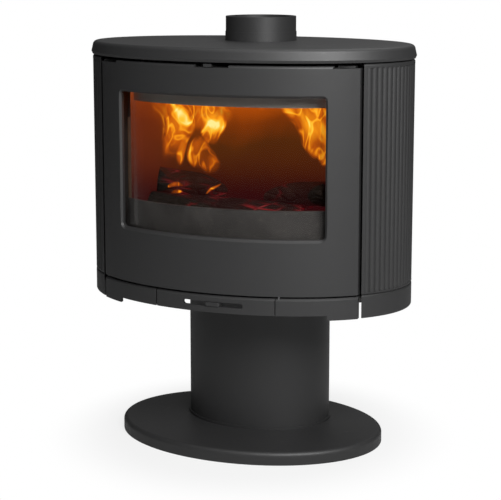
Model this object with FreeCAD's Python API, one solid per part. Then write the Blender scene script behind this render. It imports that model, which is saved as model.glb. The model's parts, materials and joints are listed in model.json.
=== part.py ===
"""Oval cast-iron wood stove on a pedestal tube, one STEP file per piece, in millimetres.

Frame: +Z up, the door faces -Y, the origin is on the floor below the middle of the lid.
A "depth" is how far a surface lies inside the outer oval of the casing.
"""
import FreeCAD, Part
import math
import os

# ---- drivers: change these and the rest follows ----------------------------
casing_half_width = 350.0   # outer oval of the casing
casing_half_depth = 222.0
floor_bottom = 340.0        # underside of the stove's floor above the room's floor
door_height = 458.0
casting_wall = 8.0          # panels, skirts and apron
sheet_wall = 3.0            # back panel

# ---- clearances ----------------------------------------------------------
piece_gap = 0.5             # between two fixed pieces that face each other
swing_gap = 0.6             # between a fixed and a moving piece
running_gap = 0.05          # radial, pin in its hole
soft_gap = 0.3              # rope to the face it closes on
door_side_gap = 6.0         # door edge to side casting

# ---- widths of the casing ------------------------------------------------
panel_front_x = casing_half_width - 65.5    # the side castings start here, front and back
door_half_width = panel_front_x - door_side_gap

# ---- heights -------------------------------------------------------------
floor_thickness = 8.0
floor_top = floor_bottom + floor_thickness
skirt_bottom = floor_bottom - 31.0
apron_bottom = floor_bottom - 21.0
slot_centre_height = floor_bottom - 4.0
apron_top = floor_bottom + 14.0
skirt_top = floor_bottom + 17.0
door_bottom = floor_bottom + 18.0
door_top = door_bottom + door_height
notch_floor = door_top - 5.2
panel_top = door_top + 3.0
lid_bottom = door_top + 5.5
lid_lip = lid_bottom + 5.5
lid_top = lid_bottom + 27.5
stove_height = lid_top + 51.0

# ---- base and pedestal ---------------------------------------------------
base_thickness = 27.0
base_half_width = casing_half_width - 61.0
base_half_depth = casing_half_depth - 12.0
base_centre_y = 3.0
base_edge_radius = 9.0
base_rim = 30.0
base_skin = 12.0
air_duct_radius = 50.0
tube_half_width = casing_half_width - 193.0
tube_half_depth = casing_half_depth - 102.0
tube_centre_y = 57.0
tube_wall = 4.0
ring_thickness = 5.0
ring_overhang = 3.0
ring_width = 48.0
flange_thickness = 6.0
flange_overhang = 33.0
bolt_radius = 4.0
bolt_hole_radius = 4.2
bolt_head_radius = 6.5
bolt_head_sides = 6
bolt_head_height = 5.0
bolt_angle = 45.0

# ---- firebox -------------------------------------------------------------
floor_depth = 10.0
lug_half_width = 12.0
frame_front = 20.0
frame_thickness = 8.0
frame_back = frame_front + frame_thickness
frame_half_width = door_half_width - 26.5
frame_top = notch_floor + piece_gap
frame_opening_half = frame_half_width - 13.0
frame_opening_bottom = door_bottom + 26.0
frame_opening_top = door_top - 34.0
box_half_width = frame_half_width - 1.0
box_wall = 5.0
box_back_y = casing_half_depth - 69.0
box_side_end = box_back_y - 75.0
box_back_half = box_half_width - 100.0
box_top = door_top - 21.0
box_top_thickness = 5.0
pan_half_width = frame_opening_half - 89.0
pan_front_y = 92.0 - casing_half_depth
pan_back_y = box_back_y - 93.0
pan_bottom = floor_top + 40.0
pan_height = 36.0
pan_wall = 1.5
rail_half_spacing = pan_half_width - 25.0
rail_width = 20.0
bed_bottom = pan_bottom + pan_height + 8.0
bed_thickness = 12.0
bed_top = bed_bottom + bed_thickness
bed_front_depth = frame_back + 2.3
bed_ledge = 6.0
ledge_width = 22.0
grate_half_width = pan_half_width - 45.0
grate_front_y = 147.0 - casing_half_depth
grate_back_y = box_back_y - 108.0
grate_step = 8.0
grate_thickness = 8.0
grate_slots = 9
grate_slot_width = 8.0
grate_slot_margin = 16.0
liner_thickness = 25.0
liner_top = box_top - 105.0
liner_front_y = 136.0 - casing_half_depth
liner_side_end = box_side_end - 28.0
liner_back_half = box_back_half - 15.0
liner_corner_margin = 0.06  # share of the corner left free at each end
baffle_thickness = 22.0
baffle_front_y = 182.0 - casing_half_depth
bracket_arm_half = 20.0
bracket_arm_thickness = 4.0
bracket_arm_heights = (skirt_top + 63.0, panel_top - 59.0)

# ---- lid and flue --------------------------------------------------------
lid_overhang = 3.0
lid_taper = 5.0
lid_undercut = 2.5
lid_edge_radius = 9.0
lid_skin = 9.0
lid_rim = 16.0
lid_post_radius = 8.0
lid_post_x = box_half_width - 36.0
lid_post_y = box_side_end - 18.0
flue_radius = 75.0
flue_wall = 5.0
flue_centre_y = box_back_y - 89.0
flue_band = 1.0
flue_band_height = 19.0
flue_flange_radius = flue_radius + 21.0
flue_flange_thickness = 6.0
flue_bolt_circle = flue_radius + 11.0

# ---- fluted side panels --------------------------------------------------
rib_pitch = 12.4
rib_depth = 3.0
rib_first = 7.0             # plain strip before the first rib
rib_band_top = 8.0
rib_band_bottom = 5.0
rib_crest_depth = 0.2
rib_clear = 4.0             # the cutter stands this far outside the oval
rib_clear_middle = 30.0
panel_edge_radius = 4.0

# ---- front apron ---------------------------------------------------------
seam_x = 128.5
seam_gap = 2.0
apron_chamfer = 4.5
foot_inner_x = door_half_width - 52.5
slot_half_length = 64.5
slot_height = 10.0

# ---- door ----------------------------------------------------------------
door_skin = 7.0
door_land = 14.0            # depth of the back face that carries ropes and glass
door_edge_rim = 7.0
door_edge_depth = 12.0
door_top_radius = 5.0
window_half_width = door_half_width - 59.0
window_bottom = door_bottom + 113.5
window_top = door_top - 63.0
window_corner_low = 9.0
window_corner_high = 5.0
window_bevel = 5.0
notch_half_width = 36.0
corner_notch_x = door_half_width - 46.0
rope_inner_x = frame_opening_half + 2.0
rope_width = 9.0
rope_depth = frame_front - door_land - soft_gap
rope_bottom = door_bottom + 10.0
rope_top = door_top - 22.0
land_margin = 4.0
pocket_half_width = window_half_width - 5.5
pocket_bottom = door_bottom + 24.0
pocket_top = window_bottom - 25.5
glass_overlap = 12.0
glass_seal_thickness = 2.0
glass_seal_margin = 4.0     # the seal keeps this far from the window's edge
glass_thickness = 4.0
retainer_thickness = 2.0
retainer_half_length = window_half_width - 14.5
retainer_lip = 8.0
retainer_foot = 10.0
retainer_screw_shares = (0.3, 0.85)
screw_radius = 2.0
screw_head_radius = 4.0
screw_head_height = 2.0
screw_head_stand = 1.0      # the flat head stands off the curved strip
screw_depth = 5.0           # into the door's land

# ---- hinge, handle and latch ---------------------------------------------
hinge_x = 10.0 - door_half_width
hinge_depth = 12.3
hinge_pin_radius = 4.0
hinge_pin_length = 14.0
hinge_pin_end_gap = 1.0
hinge_boss_radius = 9.0
hinge_boss_height = 18.0
bracket_radius = 8.0
bracket_top_thickness = 4.0
bracket_notch_gap = 2.5
bracket_frame_hold = 2.0
bracket_low_thickness = 3.0
bracket_low_start = door_bottom - swing_gap - bracket_low_thickness
bracket_low_back = 38.0     # behind the hinge line
bracket_low_front = 12.0
handle_pivot_x = seam_x + 6.0
handle_pivot_depth = 5.0
handle_pin_radius = 2.0
handle_pin_head = 3.0
handle_pin_head_height = 1.5
handle_pin_hold = 12.0      # length inside the door
tongue_bottom = floor_bottom - 17.0
tongue_height = 8.0
tongue_width = 10.0
tongue_reach = 38.0
tongue_offset = 2.0
keeper_width = 8.0
keeper_front = 22.0

# ---- behind the door -----------------------------------------------------
guard_front = frame_back + 4.0
guard_thickness = 8.0
guard_half_width = frame_half_width - 26.0
guard_top = window_bottom + 53.5
deflector_front = frame_back + 28.0
deflector_thickness = 3.0
deflector_half_width = frame_half_width - 33.0
deflector_bottom = window_top - 24.0

# ---- air controls --------------------------------------------------------
lever_pin_radius = 4.0
lever_pin_head_radius = 8.0
lever_pin_head_height = 2.0
lever_hub_radius = 12.0
lever_flange_gap = 2.0
lever_pivot_y = tube_centre_y - tube_half_depth - flange_overhang - lever_hub_radius - lever_flange_gap
lever_half_width = 6.0
lever_thickness = 3.0
lever_end_y = 16.0 - casing_half_depth
lever_tab_half = 15.0
lever_tab_height = 8.0
lever_tab_proud = 2.0
lever_tab_radius = 3.0
valve_radius = 58.0
valve_half_angle = 34.0
valve_thickness = 2.0
air_hole_radius = 46.0
air_hole_half_angle = 12.0
air_hole_width = 14.0
air_slot_count = 7
slider_half_length = 140.0
slider_front_y = 56.0 - casing_half_depth
slider_depth = 20.0
slider_thickness = 3.0
slider_slot_pitch = 44.0
slider_slot_length = 20.0
slider_slot_width = 8.0
slider_riser_gap = 14.0     # behind the front frame
slider_tab_x = -8.5
slider_tab_half = 8.5
slider_tab_thickness = 2.5
slider_tab_bottom = notch_floor + 1.2
slider_lug_depth = 1.0
slider_lug_thickness = 5.0
slider_lug_height = 6.0
slider_lug_radius = 1.5

# ---- back ----------------------------------------------------------------
louvre_count = 11
louvre_pitch = 24.0
louvre_width = 7.0
louvre_height = 60.0
louvre_low = skirt_top + 28.0
louvre_high = panel_top - 84.0

far = 1000.0                # longer than any piece, for cutting bodies
level_tolerance = 0.01
outline_tolerance = 0.002
edge_spots = 5              # places along an edge that are tested
window_search = 1.0         # the window's edges lie within this of its outline
near_parallel = 0.9


# ---- shapes --------------------------------------------------------------
def point(x, y, z=0.0):
    """A point or vector."""
    return FreeCAD.Vector(x, y, z)


def oval(half_width, half_depth, low, high, centre_y=0.0):
    """Upright prism with an elliptical plan."""
    curve = Part.Ellipse(point(0, centre_y, low), half_width, half_depth)
    face = Part.Face(Part.Wire([curve.toShape()]))
    return face.extrude(point(0, 0, high - low))


def casing_oval(depth, low, high):
    """Prism inside the casing's outer oval by the given depth."""
    return oval(casing_half_width - depth, casing_half_depth - depth, low, high)


def casing_shell(outer, inner, low, high):
    """Ring of the casing between two depths."""
    return casing_oval(outer, low, high).cut(casing_oval(inner, low, high))


def casing_front_y(x, depth=0.0):
    """Y of the casing's front at x, inside it by the given depth."""
    share = x / (casing_half_width - depth)
    return -(casing_half_depth - depth) * math.sqrt(1 - share * share)


def block(x_low, x_high, y_low, y_high, z_low, z_high):
    """Rectangular block between two corners."""
    return Part.makeBox(x_high - x_low, y_high - y_low, z_high - z_low, point(x_low, y_low, z_low))


def rod(x, y, low, high, radius):
    """Upright round bar."""
    return Part.makeCylinder(radius, high - low, point(x, y, low))


def rod_along_y(x, z, y_low, y_high, radius):
    """Round bar that lies front to back, its side in two halves."""
    right = point(x + radius, y_low, z)
    top = point(x, y_low, z + radius)
    left = point(x - radius, y_low, z)
    bottom = point(x, y_low, z - radius)
    circle = Part.Wire([Part.Arc(right, top, left).toShape(), Part.Arc(left, bottom, right).toShape()])
    return Part.Face(circle).extrude(point(0, y_high - y_low, 0))


def upright_plate(corners, low, high):
    """Prism over a plan polygon."""
    points = [point(x, y, low) for x, y in corners]
    face = Part.Face(Part.makePolygon(points + points[:1]))
    return face.extrude(point(0, 0, high - low))


def front_opening(half_width, low, high, corner_low, corner_high):
    """Rounded rectangle in the front view, pushed through the front half of the stove."""
    side = half_width
    bulge_low = corner_low * (1 - math.sqrt(0.5))
    bulge_high = corner_high * (1 - math.sqrt(0.5))

    def at(x, z):
        return point(x, -far, z)

    edges = [
        Part.LineSegment(at(corner_low - side, low), at(side - corner_low, low)),
        Part.Arc(at(side - corner_low, low), at(side - bulge_low, low + bulge_low),
                 at(side, low + corner_low)),
        Part.LineSegment(at(side, low + corner_low), at(side, high - corner_high)),
        Part.Arc(at(side, high - corner_high), at(side - bulge_high, high - bulge_high),
                 at(side - corner_high, high)),
        Part.LineSegment(at(side - corner_high, high), at(corner_high - side, high)),
        Part.Arc(at(corner_high - side, high), at(bulge_high - side, high - bulge_high),
                 at(-side, high - corner_high)),
        Part.LineSegment(at(-side, high - corner_high), at(-side, low + corner_low)),
        Part.Arc(at(-side, low + corner_low), at(bulge_low - side, low + bulge_low),
                 at(corner_low - side, low)),
    ]
    wire = Part.Wire([edge.toShape() for edge in edges])
    return Part.Face(wire).extrude(point(0, far, 0))


def plain_opening(half_width, low, high):
    """Sharp-cornered rectangle pushed through the front half."""
    return block(-half_width, half_width, -far, 0, low, high)


def on_oval(edge, height, half_width, half_depth, centre_y=0.0):
    """True for an edge that lies level on the given oval."""
    for spot in edge.discretize(edge_spots):
        miss = (spot.x / half_width) ** 2 + ((spot.y - centre_y) / half_depth) ** 2 - 1
        if abs(spot.z - height) > level_tolerance or abs(miss) > outline_tolerance:
            return False
    return True


def casing_edges(shape, height):
    """Edges on the casing's outer oval at one height."""
    return [edge for edge in shape.Edges if on_oval(edge, height, casing_half_width, casing_half_depth)]


def join(shapes):
    """Fuse shapes into one solid."""
    return shapes[0].multiFuse(shapes[1:]).removeSplitter()


def group(shapes):
    """Separate solids kept in one node."""
    return Part.makeCompound(shapes)


def mirror_x(shape):
    """Mirror image on the other side of the stove."""
    return shape.mirror(point(0, 0, 0), point(1, 0, 0))


hinge_y = casing_front_y(hinge_x, hinge_depth)
handle_pivot_y = casing_front_y(handle_pivot_x, handle_pivot_depth)
seam_radius = math.hypot(seam_x - hinge_x, casing_front_y(seam_x) - hinge_y)


# ---- base and pedestal ---------------------------------------------------
def bolt_spots(half_width, half_depth):
    """Four plan points on an oval round the tube's centre."""
    across = half_width * math.cos(math.radians(bolt_angle))
    along = half_depth * math.sin(math.radians(bolt_angle))
    return [(sx * across, tube_centre_y + sy * along) for sx in (-1, 1) for sy in (-1, 1)]


def inner_bolts():
    """Bolt places inside the tube."""
    inset = ring_width / 2 - ring_overhang
    return bolt_spots(tube_half_width - inset, tube_half_depth - inset)


def outer_bolts():
    """Bolt places on the flange outside the tube."""
    reach = flange_overhang / 2
    return bolt_spots(tube_half_width + reach, tube_half_depth + reach)


def bolt(x, y, shank_low, head_low, head_up):
    """Hexagon-headed bolt, its head above or below head_low."""
    turns = [2 * math.pi * number / bolt_head_sides for number in range(bolt_head_sides)]
    corners = [(x + bolt_head_radius * math.cos(turn), y + bolt_head_radius * math.sin(turn))
               for turn in turns]
    if head_up:
        head = upright_plate(corners, head_low, head_low + bolt_head_height)
        shank = rod(x, y, shank_low, head_low, bolt_radius)
    else:
        head = upright_plate(corners, head_low - bolt_head_height, head_low)
        shank = rod(x, y, head_low, shank_low, bolt_radius)
    return head.fuse(shank)


def base_plate():
    """Oval cast floor plate, hollow below, open in the middle for room air."""
    plate = oval(base_half_width, base_half_depth, 0, base_thickness, base_centre_y)
    edges = [edge for edge in plate.Edges
             if on_oval(edge, base_thickness, base_half_width, base_half_depth, base_centre_y)]
    plate = plate.makeFillet(base_edge_radius, edges)
    hollow = oval(base_half_width - base_rim, base_half_depth - base_rim,
                  0, base_thickness - base_skin, base_centre_y)
    plate = plate.cut(hollow)
    plate = plate.cut(rod(0, tube_centre_y, 0, base_thickness, air_duct_radius))
    return plate.cut([rod(x, y, 0, base_thickness, bolt_radius) for x, y in inner_bolts()])


def tube_ring(overhang, low, thickness, spots):
    """Oval flange at one end of the tube."""
    inner = ring_width - ring_overhang
    high = low + thickness
    ring = oval(tube_half_width + overhang, tube_half_depth + overhang, low, high, tube_centre_y)
    ring = ring.cut(oval(tube_half_width - inner, tube_half_depth - inner, low, high, tube_centre_y))
    return ring.cut([rod(x, y, low, high, bolt_hole_radius) for x, y in spots])


def tube_foot_ring():
    """Ring that the tube stands on, bolted to the floor plate from inside."""
    return tube_ring(ring_overhang, base_thickness, ring_thickness, inner_bolts())


def foot_ring_bolts():
    """Four bolts from the ring down into the floor plate."""
    head_low = base_thickness + ring_thickness
    return group([bolt(x, y, base_thickness - base_skin, head_low, True) for x, y in inner_bolts()])


def pedestal_tube():
    """Oval steel tube that carries the stove."""
    low = base_thickness + ring_thickness
    high = floor_bottom - flange_thickness
    tube = oval(tube_half_width, tube_half_depth, low, high, tube_centre_y)
    return tube.cut(oval(tube_half_width - tube_wall, tube_half_depth - tube_wall, low, high, tube_centre_y))


def tube_top_flange():
    """Flange on top of the tube, bolted up into the stove's floor."""
    return tube_ring(flange_overhang, floor_bottom - flange_thickness, flange_thickness, outer_bolts())


def top_flange_bolts():
    """Four bolts from below through the flange into the floor."""
    head_low = floor_bottom - flange_thickness
    return group([bolt(x, y, floor_top, head_low, False) for x, y in outer_bolts()])


# ---- casing --------------------------------------------------------------
def side_zone(low, high):
    """Space on the right of the stove that the side castings fill."""
    return block(panel_front_x, far, -far, far, low, high)


def rib_cutter(low, high):
    """What is cut away from the right side so that convex ribs are left."""
    angle = math.acos(panel_front_x / casing_half_width)
    side = Part.Ellipse(point(0, 0, low), casing_half_width, casing_half_depth).toShape(-angle, angle)
    length = side.Length - 2 * rib_first
    count = int(length / rib_pitch)
    step = length / count

    def spot(distance, depth):
        """Point that far along the side, and that far inside it."""
        parameter = side.getParameterByLength(distance)
        tangent = side.tangentAt(parameter)
        return side.valueAt(parameter) - point(tangent.y, -tangent.x) * depth

    start = spot(rib_first, rib_depth)
    edges = []
    for rib in range(count):
        crest = spot(rib_first + (rib + 0.5) * step, rib_crest_depth)
        end = spot(rib_first + (rib + 1) * step, rib_depth)
        edges.append(Part.Arc(start, crest, end).toShape())
        start = end
    start_out = spot(rib_first + length, -rib_clear)
    end_out = spot(rib_first, -rib_clear)
    edges.append(Part.makeLine(start, start_out))
    edges.append(Part.Arc(start_out, spot(side.Length / 2, -rib_clear_middle), end_out).toShape())
    edges.append(Part.makeLine(end_out, spot(rib_first, rib_depth)))
    return Part.Face(Part.Wire(edges)).extrude(point(0, 0, high - low))


def side_panel_right():
    """Fluted cast side panel between the skirt and the lid."""
    panel = casing_shell(0, casting_wall, skirt_top, panel_top).common(side_zone(skirt_top, panel_top))
    edges = casing_edges(panel, skirt_top) + casing_edges(panel, panel_top)
    panel = panel.makeFillet(panel_edge_radius, edges)
    return panel.cut(rib_cutter(skirt_top + rib_band_bottom, panel_top - rib_band_top))


def side_panel_left():
    """The same panel on the left."""
    return mirror_x(side_panel_right())


def side_skirt_right():
    """Plain cast skirt below the side panel."""
    skirt = casing_shell(0, casting_wall, skirt_bottom, skirt_top).common(side_zone(skirt_bottom, skirt_top))
    edges = casing_edges(skirt, skirt_top) + casing_edges(skirt, skirt_bottom)
    return skirt.makeFillet(panel_edge_radius, edges)


def side_skirt_left():
    """The same skirt on the left."""
    return mirror_x(side_skirt_right())


def back_zone(low, high):
    """Space behind the stove between the side castings."""
    reach = panel_front_x - piece_gap
    return block(-reach, reach, 0, far, low, high)


def back_skirt():
    """Plain cast skirt across the back."""
    return casing_shell(0, casting_wall, skirt_bottom, skirt_top).common(back_zone(skirt_bottom, skirt_top))


def back_panel():
    """Sheet-steel back with two rows of upright louvres for room air."""
    panel = casing_shell(0, sheet_wall, skirt_top, panel_top).common(back_zone(skirt_top, panel_top))
    cuts = []
    for low in (louvre_low, louvre_high - louvre_height):
        for number in range(louvre_count):
            x = (number - (louvre_count - 1) / 2) * louvre_pitch
            cuts.append(block(x - louvre_width / 2, x + louvre_width / 2, 0, far, low, low + louvre_height))
    return panel.cut(cuts)


def lid():
    """Heavy cast lid with a tapered edge and a small lip, hollow below."""
    def outline(depth, height):
        curve = Part.Ellipse(point(0, 0, height), casing_half_width + depth, casing_half_depth + depth)
        return Part.Wire([curve.toShape()])

    lip = Part.makeLoft([outline(lid_overhang - lid_undercut, lid_bottom), outline(lid_overhang, lid_lip)],
                        True, True)
    side = Part.makeLoft([outline(lid_overhang, lid_lip), outline(lid_overhang - lid_taper, lid_top)],
                         True, True)
    top = casing_half_width + lid_overhang - lid_taper
    top_edges = [edge for edge in side.Edges
                 if on_oval(edge, lid_top, top, casing_half_depth + lid_overhang - lid_taper)]
    side = side.makeFillet(lid_edge_radius, top_edges)
    body = side.fuse(lip)
    body = body.cut(casing_oval(lid_rim, lid_bottom, lid_top - lid_skin))
    hole = flue_radius + flue_band + piece_gap
    return body.cut(rod(0, flue_centre_y, lid_bottom, lid_top, hole))


def lid_posts():
    """Four studs from the top of the firebox that carry the lid."""
    low = box_top + box_top_thickness
    high = lid_top - lid_skin
    return group([rod(sx * lid_post_x, sy * lid_post_y, low, high, lid_post_radius)
                  for sx in (-1, 1) for sy in (-1, 1)])


def flue_bolt_spots():
    """Four places on the collar's flange."""
    reach = flue_bolt_circle * math.sqrt(0.5)
    return [(sx * reach, flue_centre_y + sy * reach) for sx in (-1, 1) for sy in (-1, 1)]


def flue_collar():
    """Cast collar for the flue pipe, on a bolted flange under the lid."""
    low = box_top + box_top_thickness
    collar = rod(0, flue_centre_y, low, stove_height, flue_radius)
    collar = collar.fuse(rod(0, flue_centre_y, low, lid_top + flue_band_height, flue_radius + flue_band))
    flange_high = low + flue_flange_thickness
    collar = collar.fuse(rod(0, flue_centre_y, low, flange_high, flue_flange_radius))
    collar = collar.cut(rod(0, flue_centre_y, low, stove_height, flue_radius - flue_wall))
    return collar.cut([rod(x, y, low, flange_high, bolt_hole_radius) for x, y in flue_bolt_spots()])


def flue_collar_bolts():
    """Four bolts through the collar's flange into the firebox top."""
    head_low = box_top + box_top_thickness + flue_flange_thickness
    return group([bolt(x, y, box_top, head_low, True) for x, y in flue_bolt_spots()])


# ---- apron and handle ----------------------------------------------------
def apron_band(low):
    """Front band below the door, with a chamfer along its top."""
    band = casing_shell(0, casting_wall, low, apron_top)
    band = band.common(plain_opening(door_half_width, low, apron_top))
    return band.makeChamfer(apron_chamfer, casing_edges(band, apron_top))


def slot_opening():
    """Round-ended slot for the air lever."""
    radius = slot_height / 2
    straight = slot_half_length - slot_height / 2
    low = slot_centre_height - radius
    middle = block(-straight, straight, -far, 0, low, low + 2 * radius)
    ends = [rod_along_y(side * straight, slot_centre_height, -far, 0, radius) for side in (-1, 1)]
    return join([middle] + ends)


def apron_centre():
    """Middle of the apron, with the slot that the air lever shows in."""
    band = apron_band(apron_bottom)
    band = band.common(rod(hinge_x, hinge_y, apron_bottom, apron_top, seam_radius - seam_gap / 2))
    band = band.common(rod(-hinge_x, hinge_y, apron_bottom, apron_top, seam_radius - seam_gap / 2))
    return band.cut(slot_opening())


def apron_end():
    """Right end of the apron with its hanging foot, outside the seam."""
    band = apron_band(apron_bottom)
    foot = casing_shell(0, casting_wall, skirt_bottom, apron_bottom)
    foot = foot.common(block(foot_inner_x, door_half_width, -far, 0, skirt_bottom, apron_bottom))
    end = band.common(block(0, door_half_width, -far, 0, apron_bottom, apron_top))
    end = end.cut(rod(hinge_x, hinge_y, apron_bottom, apron_top, seam_radius + seam_gap / 2))
    return join([end, foot])


def apron_left():
    """Fixed left end of the apron, below the hinge."""
    return mirror_x(apron_end())


def door_handle():
    """Right end of the apron: the pull that turns on a pin under the door."""
    handle = apron_end()
    handle = handle.cut(rod(handle_pivot_x, handle_pivot_y, apron_bottom, apron_top,
                            handle_pin_radius + running_gap))
    pocket = handle_pin_head + running_gap
    height = handle_pin_head_height + running_gap
    return handle.cut(rod(handle_pivot_x, handle_pivot_y, apron_bottom, apron_bottom + height, pocket))


def handle_pin():
    """Headed pin pressed up into the door, which the handle turns on."""
    pin = rod(handle_pivot_x, handle_pivot_y, apron_bottom, door_bottom + handle_pin_hold,
              handle_pin_radius)
    head = rod(handle_pivot_x, handle_pivot_y, apron_bottom, apron_bottom + handle_pin_head_height,
               handle_pin_head)
    return pin.fuse(head)


def ring_about_hinge(inner, outer, low, high):
    """Upright ring about the door's hinge line."""
    return rod(hinge_x, hinge_y, low, high, outer).cut(rod(hinge_x, hinge_y, low, high, inner))


def latch_tongue():
    """Catch tongue on the back of the handle."""
    low = tongue_bottom
    high = tongue_bottom + tongue_height
    inner = seam_radius + seam_gap / 2 + tongue_offset
    ring = ring_about_hinge(inner, inner + tongue_width, low, high)
    return ring.common(casing_shell(casting_wall, tongue_reach, low, high)).common(
        block(0, far, -far, 0, low, high))


def latch_keeper():
    """Keeper block under the stove's floor, beside the tongue."""
    outer = seam_radius + seam_gap / 2 + tongue_offset - swing_gap
    ring = ring_about_hinge(outer - keeper_width, outer, tongue_bottom, floor_bottom)
    return ring.common(casing_shell(keeper_front, tongue_reach, tongue_bottom, floor_bottom)).common(
        block(0, far, -far, 0, tongue_bottom, floor_bottom))


# ---- door ----------------------------------------------------------------
def door_casting():
    """Curved cast door with a bevelled window, open notches on top and lands behind."""
    door = casing_shell(0, door_skin, door_bottom, door_top)
    door = door.common(plain_opening(door_half_width, door_bottom, door_top))
    door = door.makeFillet(door_top_radius, casing_edges(door, door_top))
    rim = casing_shell(door_skin, door_edge_depth, door_bottom, door_top)
    rim = rim.common(plain_opening(door_half_width, door_bottom, door_top))
    rim = rim.cut(plain_opening(door_half_width - door_edge_rim, door_bottom + door_edge_rim,
                                door_top - door_edge_rim))
    land_half = rope_inner_x + rope_width + land_margin
    land_low = rope_bottom - land_margin
    land_high = rope_top + land_margin
    land = casing_shell(door_skin, door_land, land_low, land_high)
    land = land.common(plain_opening(land_half, land_low, land_high))
    land = land.cut(plain_opening(pocket_half_width, pocket_bottom, pocket_top))
    boss_low = rod(hinge_x, hinge_y, door_bottom, door_bottom + hinge_boss_height, hinge_boss_radius)
    boss_high = rod(hinge_x, hinge_y, notch_floor - hinge_boss_height, notch_floor, hinge_boss_radius)
    bosses = boss_low.fuse(boss_high).common(casing_oval(door_skin / 2, door_bottom, door_top))
    bosses = bosses.common(plain_opening(door_half_width, door_bottom, door_top))
    door = join([door, rim, land, bosses])
    door = door.cut(plain_opening(notch_half_width, notch_floor, door_top))
    door = door.cut(block(-far, -corner_notch_x, -far, 0, notch_floor, door_top))
    door = door.cut(block(corner_notch_x, far, -far, 0, notch_floor, door_top))
    door = door.cut(front_opening(window_half_width, window_bottom, window_top,
                                  window_corner_low, window_corner_high))
    edges = [edge for edge in door.Edges if is_window_front(edge)]
    door = door.makeChamfer(window_bevel, edges)
    for low in (door_bottom, notch_floor - hinge_pin_length):
        door = door.cut(rod(hinge_x, hinge_y, low, low + hinge_pin_length, hinge_pin_radius + running_gap))
    holes = []
    for x, height in retainer_screw_spots(True) + retainer_screw_spots(False):
        start = casing_front_y(x, door_land - screw_depth) - running_gap
        holes.append(rod_along_y(x, height, start, 0, screw_radius + running_gap))
    door = door.cut(holes)
    return door.cut(rod(handle_pivot_x, handle_pivot_y, door_bottom, door_bottom + handle_pin_hold,
                        handle_pin_radius))


def is_window_front(edge):
    """True for an edge of the window on the door's outer face."""
    for spot in edge.discretize(edge_spots):
        miss = (spot.x / casing_half_width) ** 2 + (spot.y / casing_half_depth) ** 2 - 1
        above = spot.z > window_top + window_search
        below = spot.z < window_bottom - window_search
        beside = abs(spot.x) > window_half_width + window_search
        if abs(miss) > outline_tolerance or above or below or beside:
            return False
    return True


def door_seal():
    """Rope seal on the back of the door, a flat ring that follows its curve."""
    low = rope_bottom
    high = rope_top
    seal = casing_shell(door_land, door_land + rope_depth, low, high)
    seal = seal.common(plain_opening(rope_inner_x + rope_width, low, high))
    return seal.cut(plain_opening(rope_inner_x, low + rope_width, high - rope_width))


def glass_zone(change, inner, outer):
    """Curved sheet over the window, larger than it by the overlap and a change."""
    reach = glass_overlap + change
    low = window_bottom - reach
    high = window_top + reach
    return casing_shell(inner, outer, low, high).common(plain_opening(window_half_width + reach, low, high))


def glass_seal():
    """Flat rope between the door and the glass."""
    seal = glass_zone(0, door_land, door_land + glass_seal_thickness)
    margin = glass_seal_margin
    return seal.cut(plain_opening(window_half_width + margin, window_bottom - margin, window_top + margin))


def door_glass():
    """Curved ceramic glass."""
    inner = door_land + glass_seal_thickness
    return glass_zone(0, inner, inner + glass_thickness)


def retainer(low_edge):
    """Stepped strip that holds one edge of the glass; low_edge picks the bottom one."""
    behind = door_land + glass_seal_thickness + glass_thickness
    back = behind + retainer_thickness
    glass_low = window_bottom - glass_overlap
    glass_high = window_top + glass_overlap
    if low_edge:
        foot = (glass_low - piece_gap - retainer_foot, glass_low - piece_gap)
        lip = (foot[1], glass_low + retainer_lip)
    else:
        foot = (glass_high + piece_gap, glass_high + piece_gap + retainer_foot)
        lip = (glass_high - retainer_lip, foot[0])
    strip = casing_shell(door_land, back, *foot).common(plain_opening(retainer_half_length, *foot))
    tongue = casing_shell(behind, back, *lip).common(plain_opening(retainer_half_length, *lip))
    strip = join([strip, tongue])
    spots = retainer_screw_spots(low_edge)
    return strip.cut([rod_along_y(x, height, -far, 0, screw_radius) for x, height in spots])


def retainer_screw_spots(low_edge):
    """Front-view places of the screws in one retainer."""
    if low_edge:
        height = window_bottom - glass_overlap - piece_gap - retainer_foot / 2
    else:
        height = window_top + glass_overlap + piece_gap + retainer_foot / 2
    return [(side * retainer_half_length * share, height) for side in (-1, 1)
            for share in retainer_screw_shares]


def glass_retainer_bottom():
    """Lower glass retainer."""
    return retainer(True)


def glass_retainer_top():
    """Upper glass retainer."""
    return retainer(False)


def glass_retainer_screws():
    """Screws of both retainers, with round heads."""
    screws = []
    back = door_land + glass_seal_thickness + glass_thickness + retainer_thickness
    for x, height in retainer_screw_spots(True) + retainer_screw_spots(False):
        face_y = casing_front_y(abs(x) + screw_head_radius, back) + screw_head_stand
        start = casing_front_y(x, door_land - screw_depth)
        shank = rod_along_y(x, height, start, face_y, screw_radius)
        head = rod_along_y(x, height, face_y, face_y + screw_head_height, screw_head_radius)
        screws.append(shank.fuse(head))
    return group(screws)


def corner_bracket_plate():
    """Flat plate from the front frame over the door's corner notch on the right."""
    outer = frame_half_width - bracket_frame_hold
    inner = corner_notch_x + bracket_notch_gap
    corners = [
        (-hinge_x, hinge_y - bracket_radius),
        (inner, casing_front_y(inner, frame_front)),
        (inner, casing_front_y(inner, frame_back)),
        (outer, casing_front_y(outer, frame_back)),
        (-hinge_x, hinge_y + bracket_radius),
    ]
    return upright_plate(corners, frame_top, frame_top + bracket_top_thickness)


def hinge_bracket_upper():
    """Flat bracket from the front frame over the hinge line, in the corner notch."""
    high = frame_top + bracket_top_thickness
    plate = join([mirror_x(corner_bracket_plate()), rod(hinge_x, hinge_y, frame_top, high, bracket_radius)])
    return plate.cut(rod(hinge_x, hinge_y, frame_top, high, hinge_pin_radius))


def catch_bracket():
    """The same plate over the door's free corner, which keeps it from lifting."""
    return corner_bracket_plate()


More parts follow.
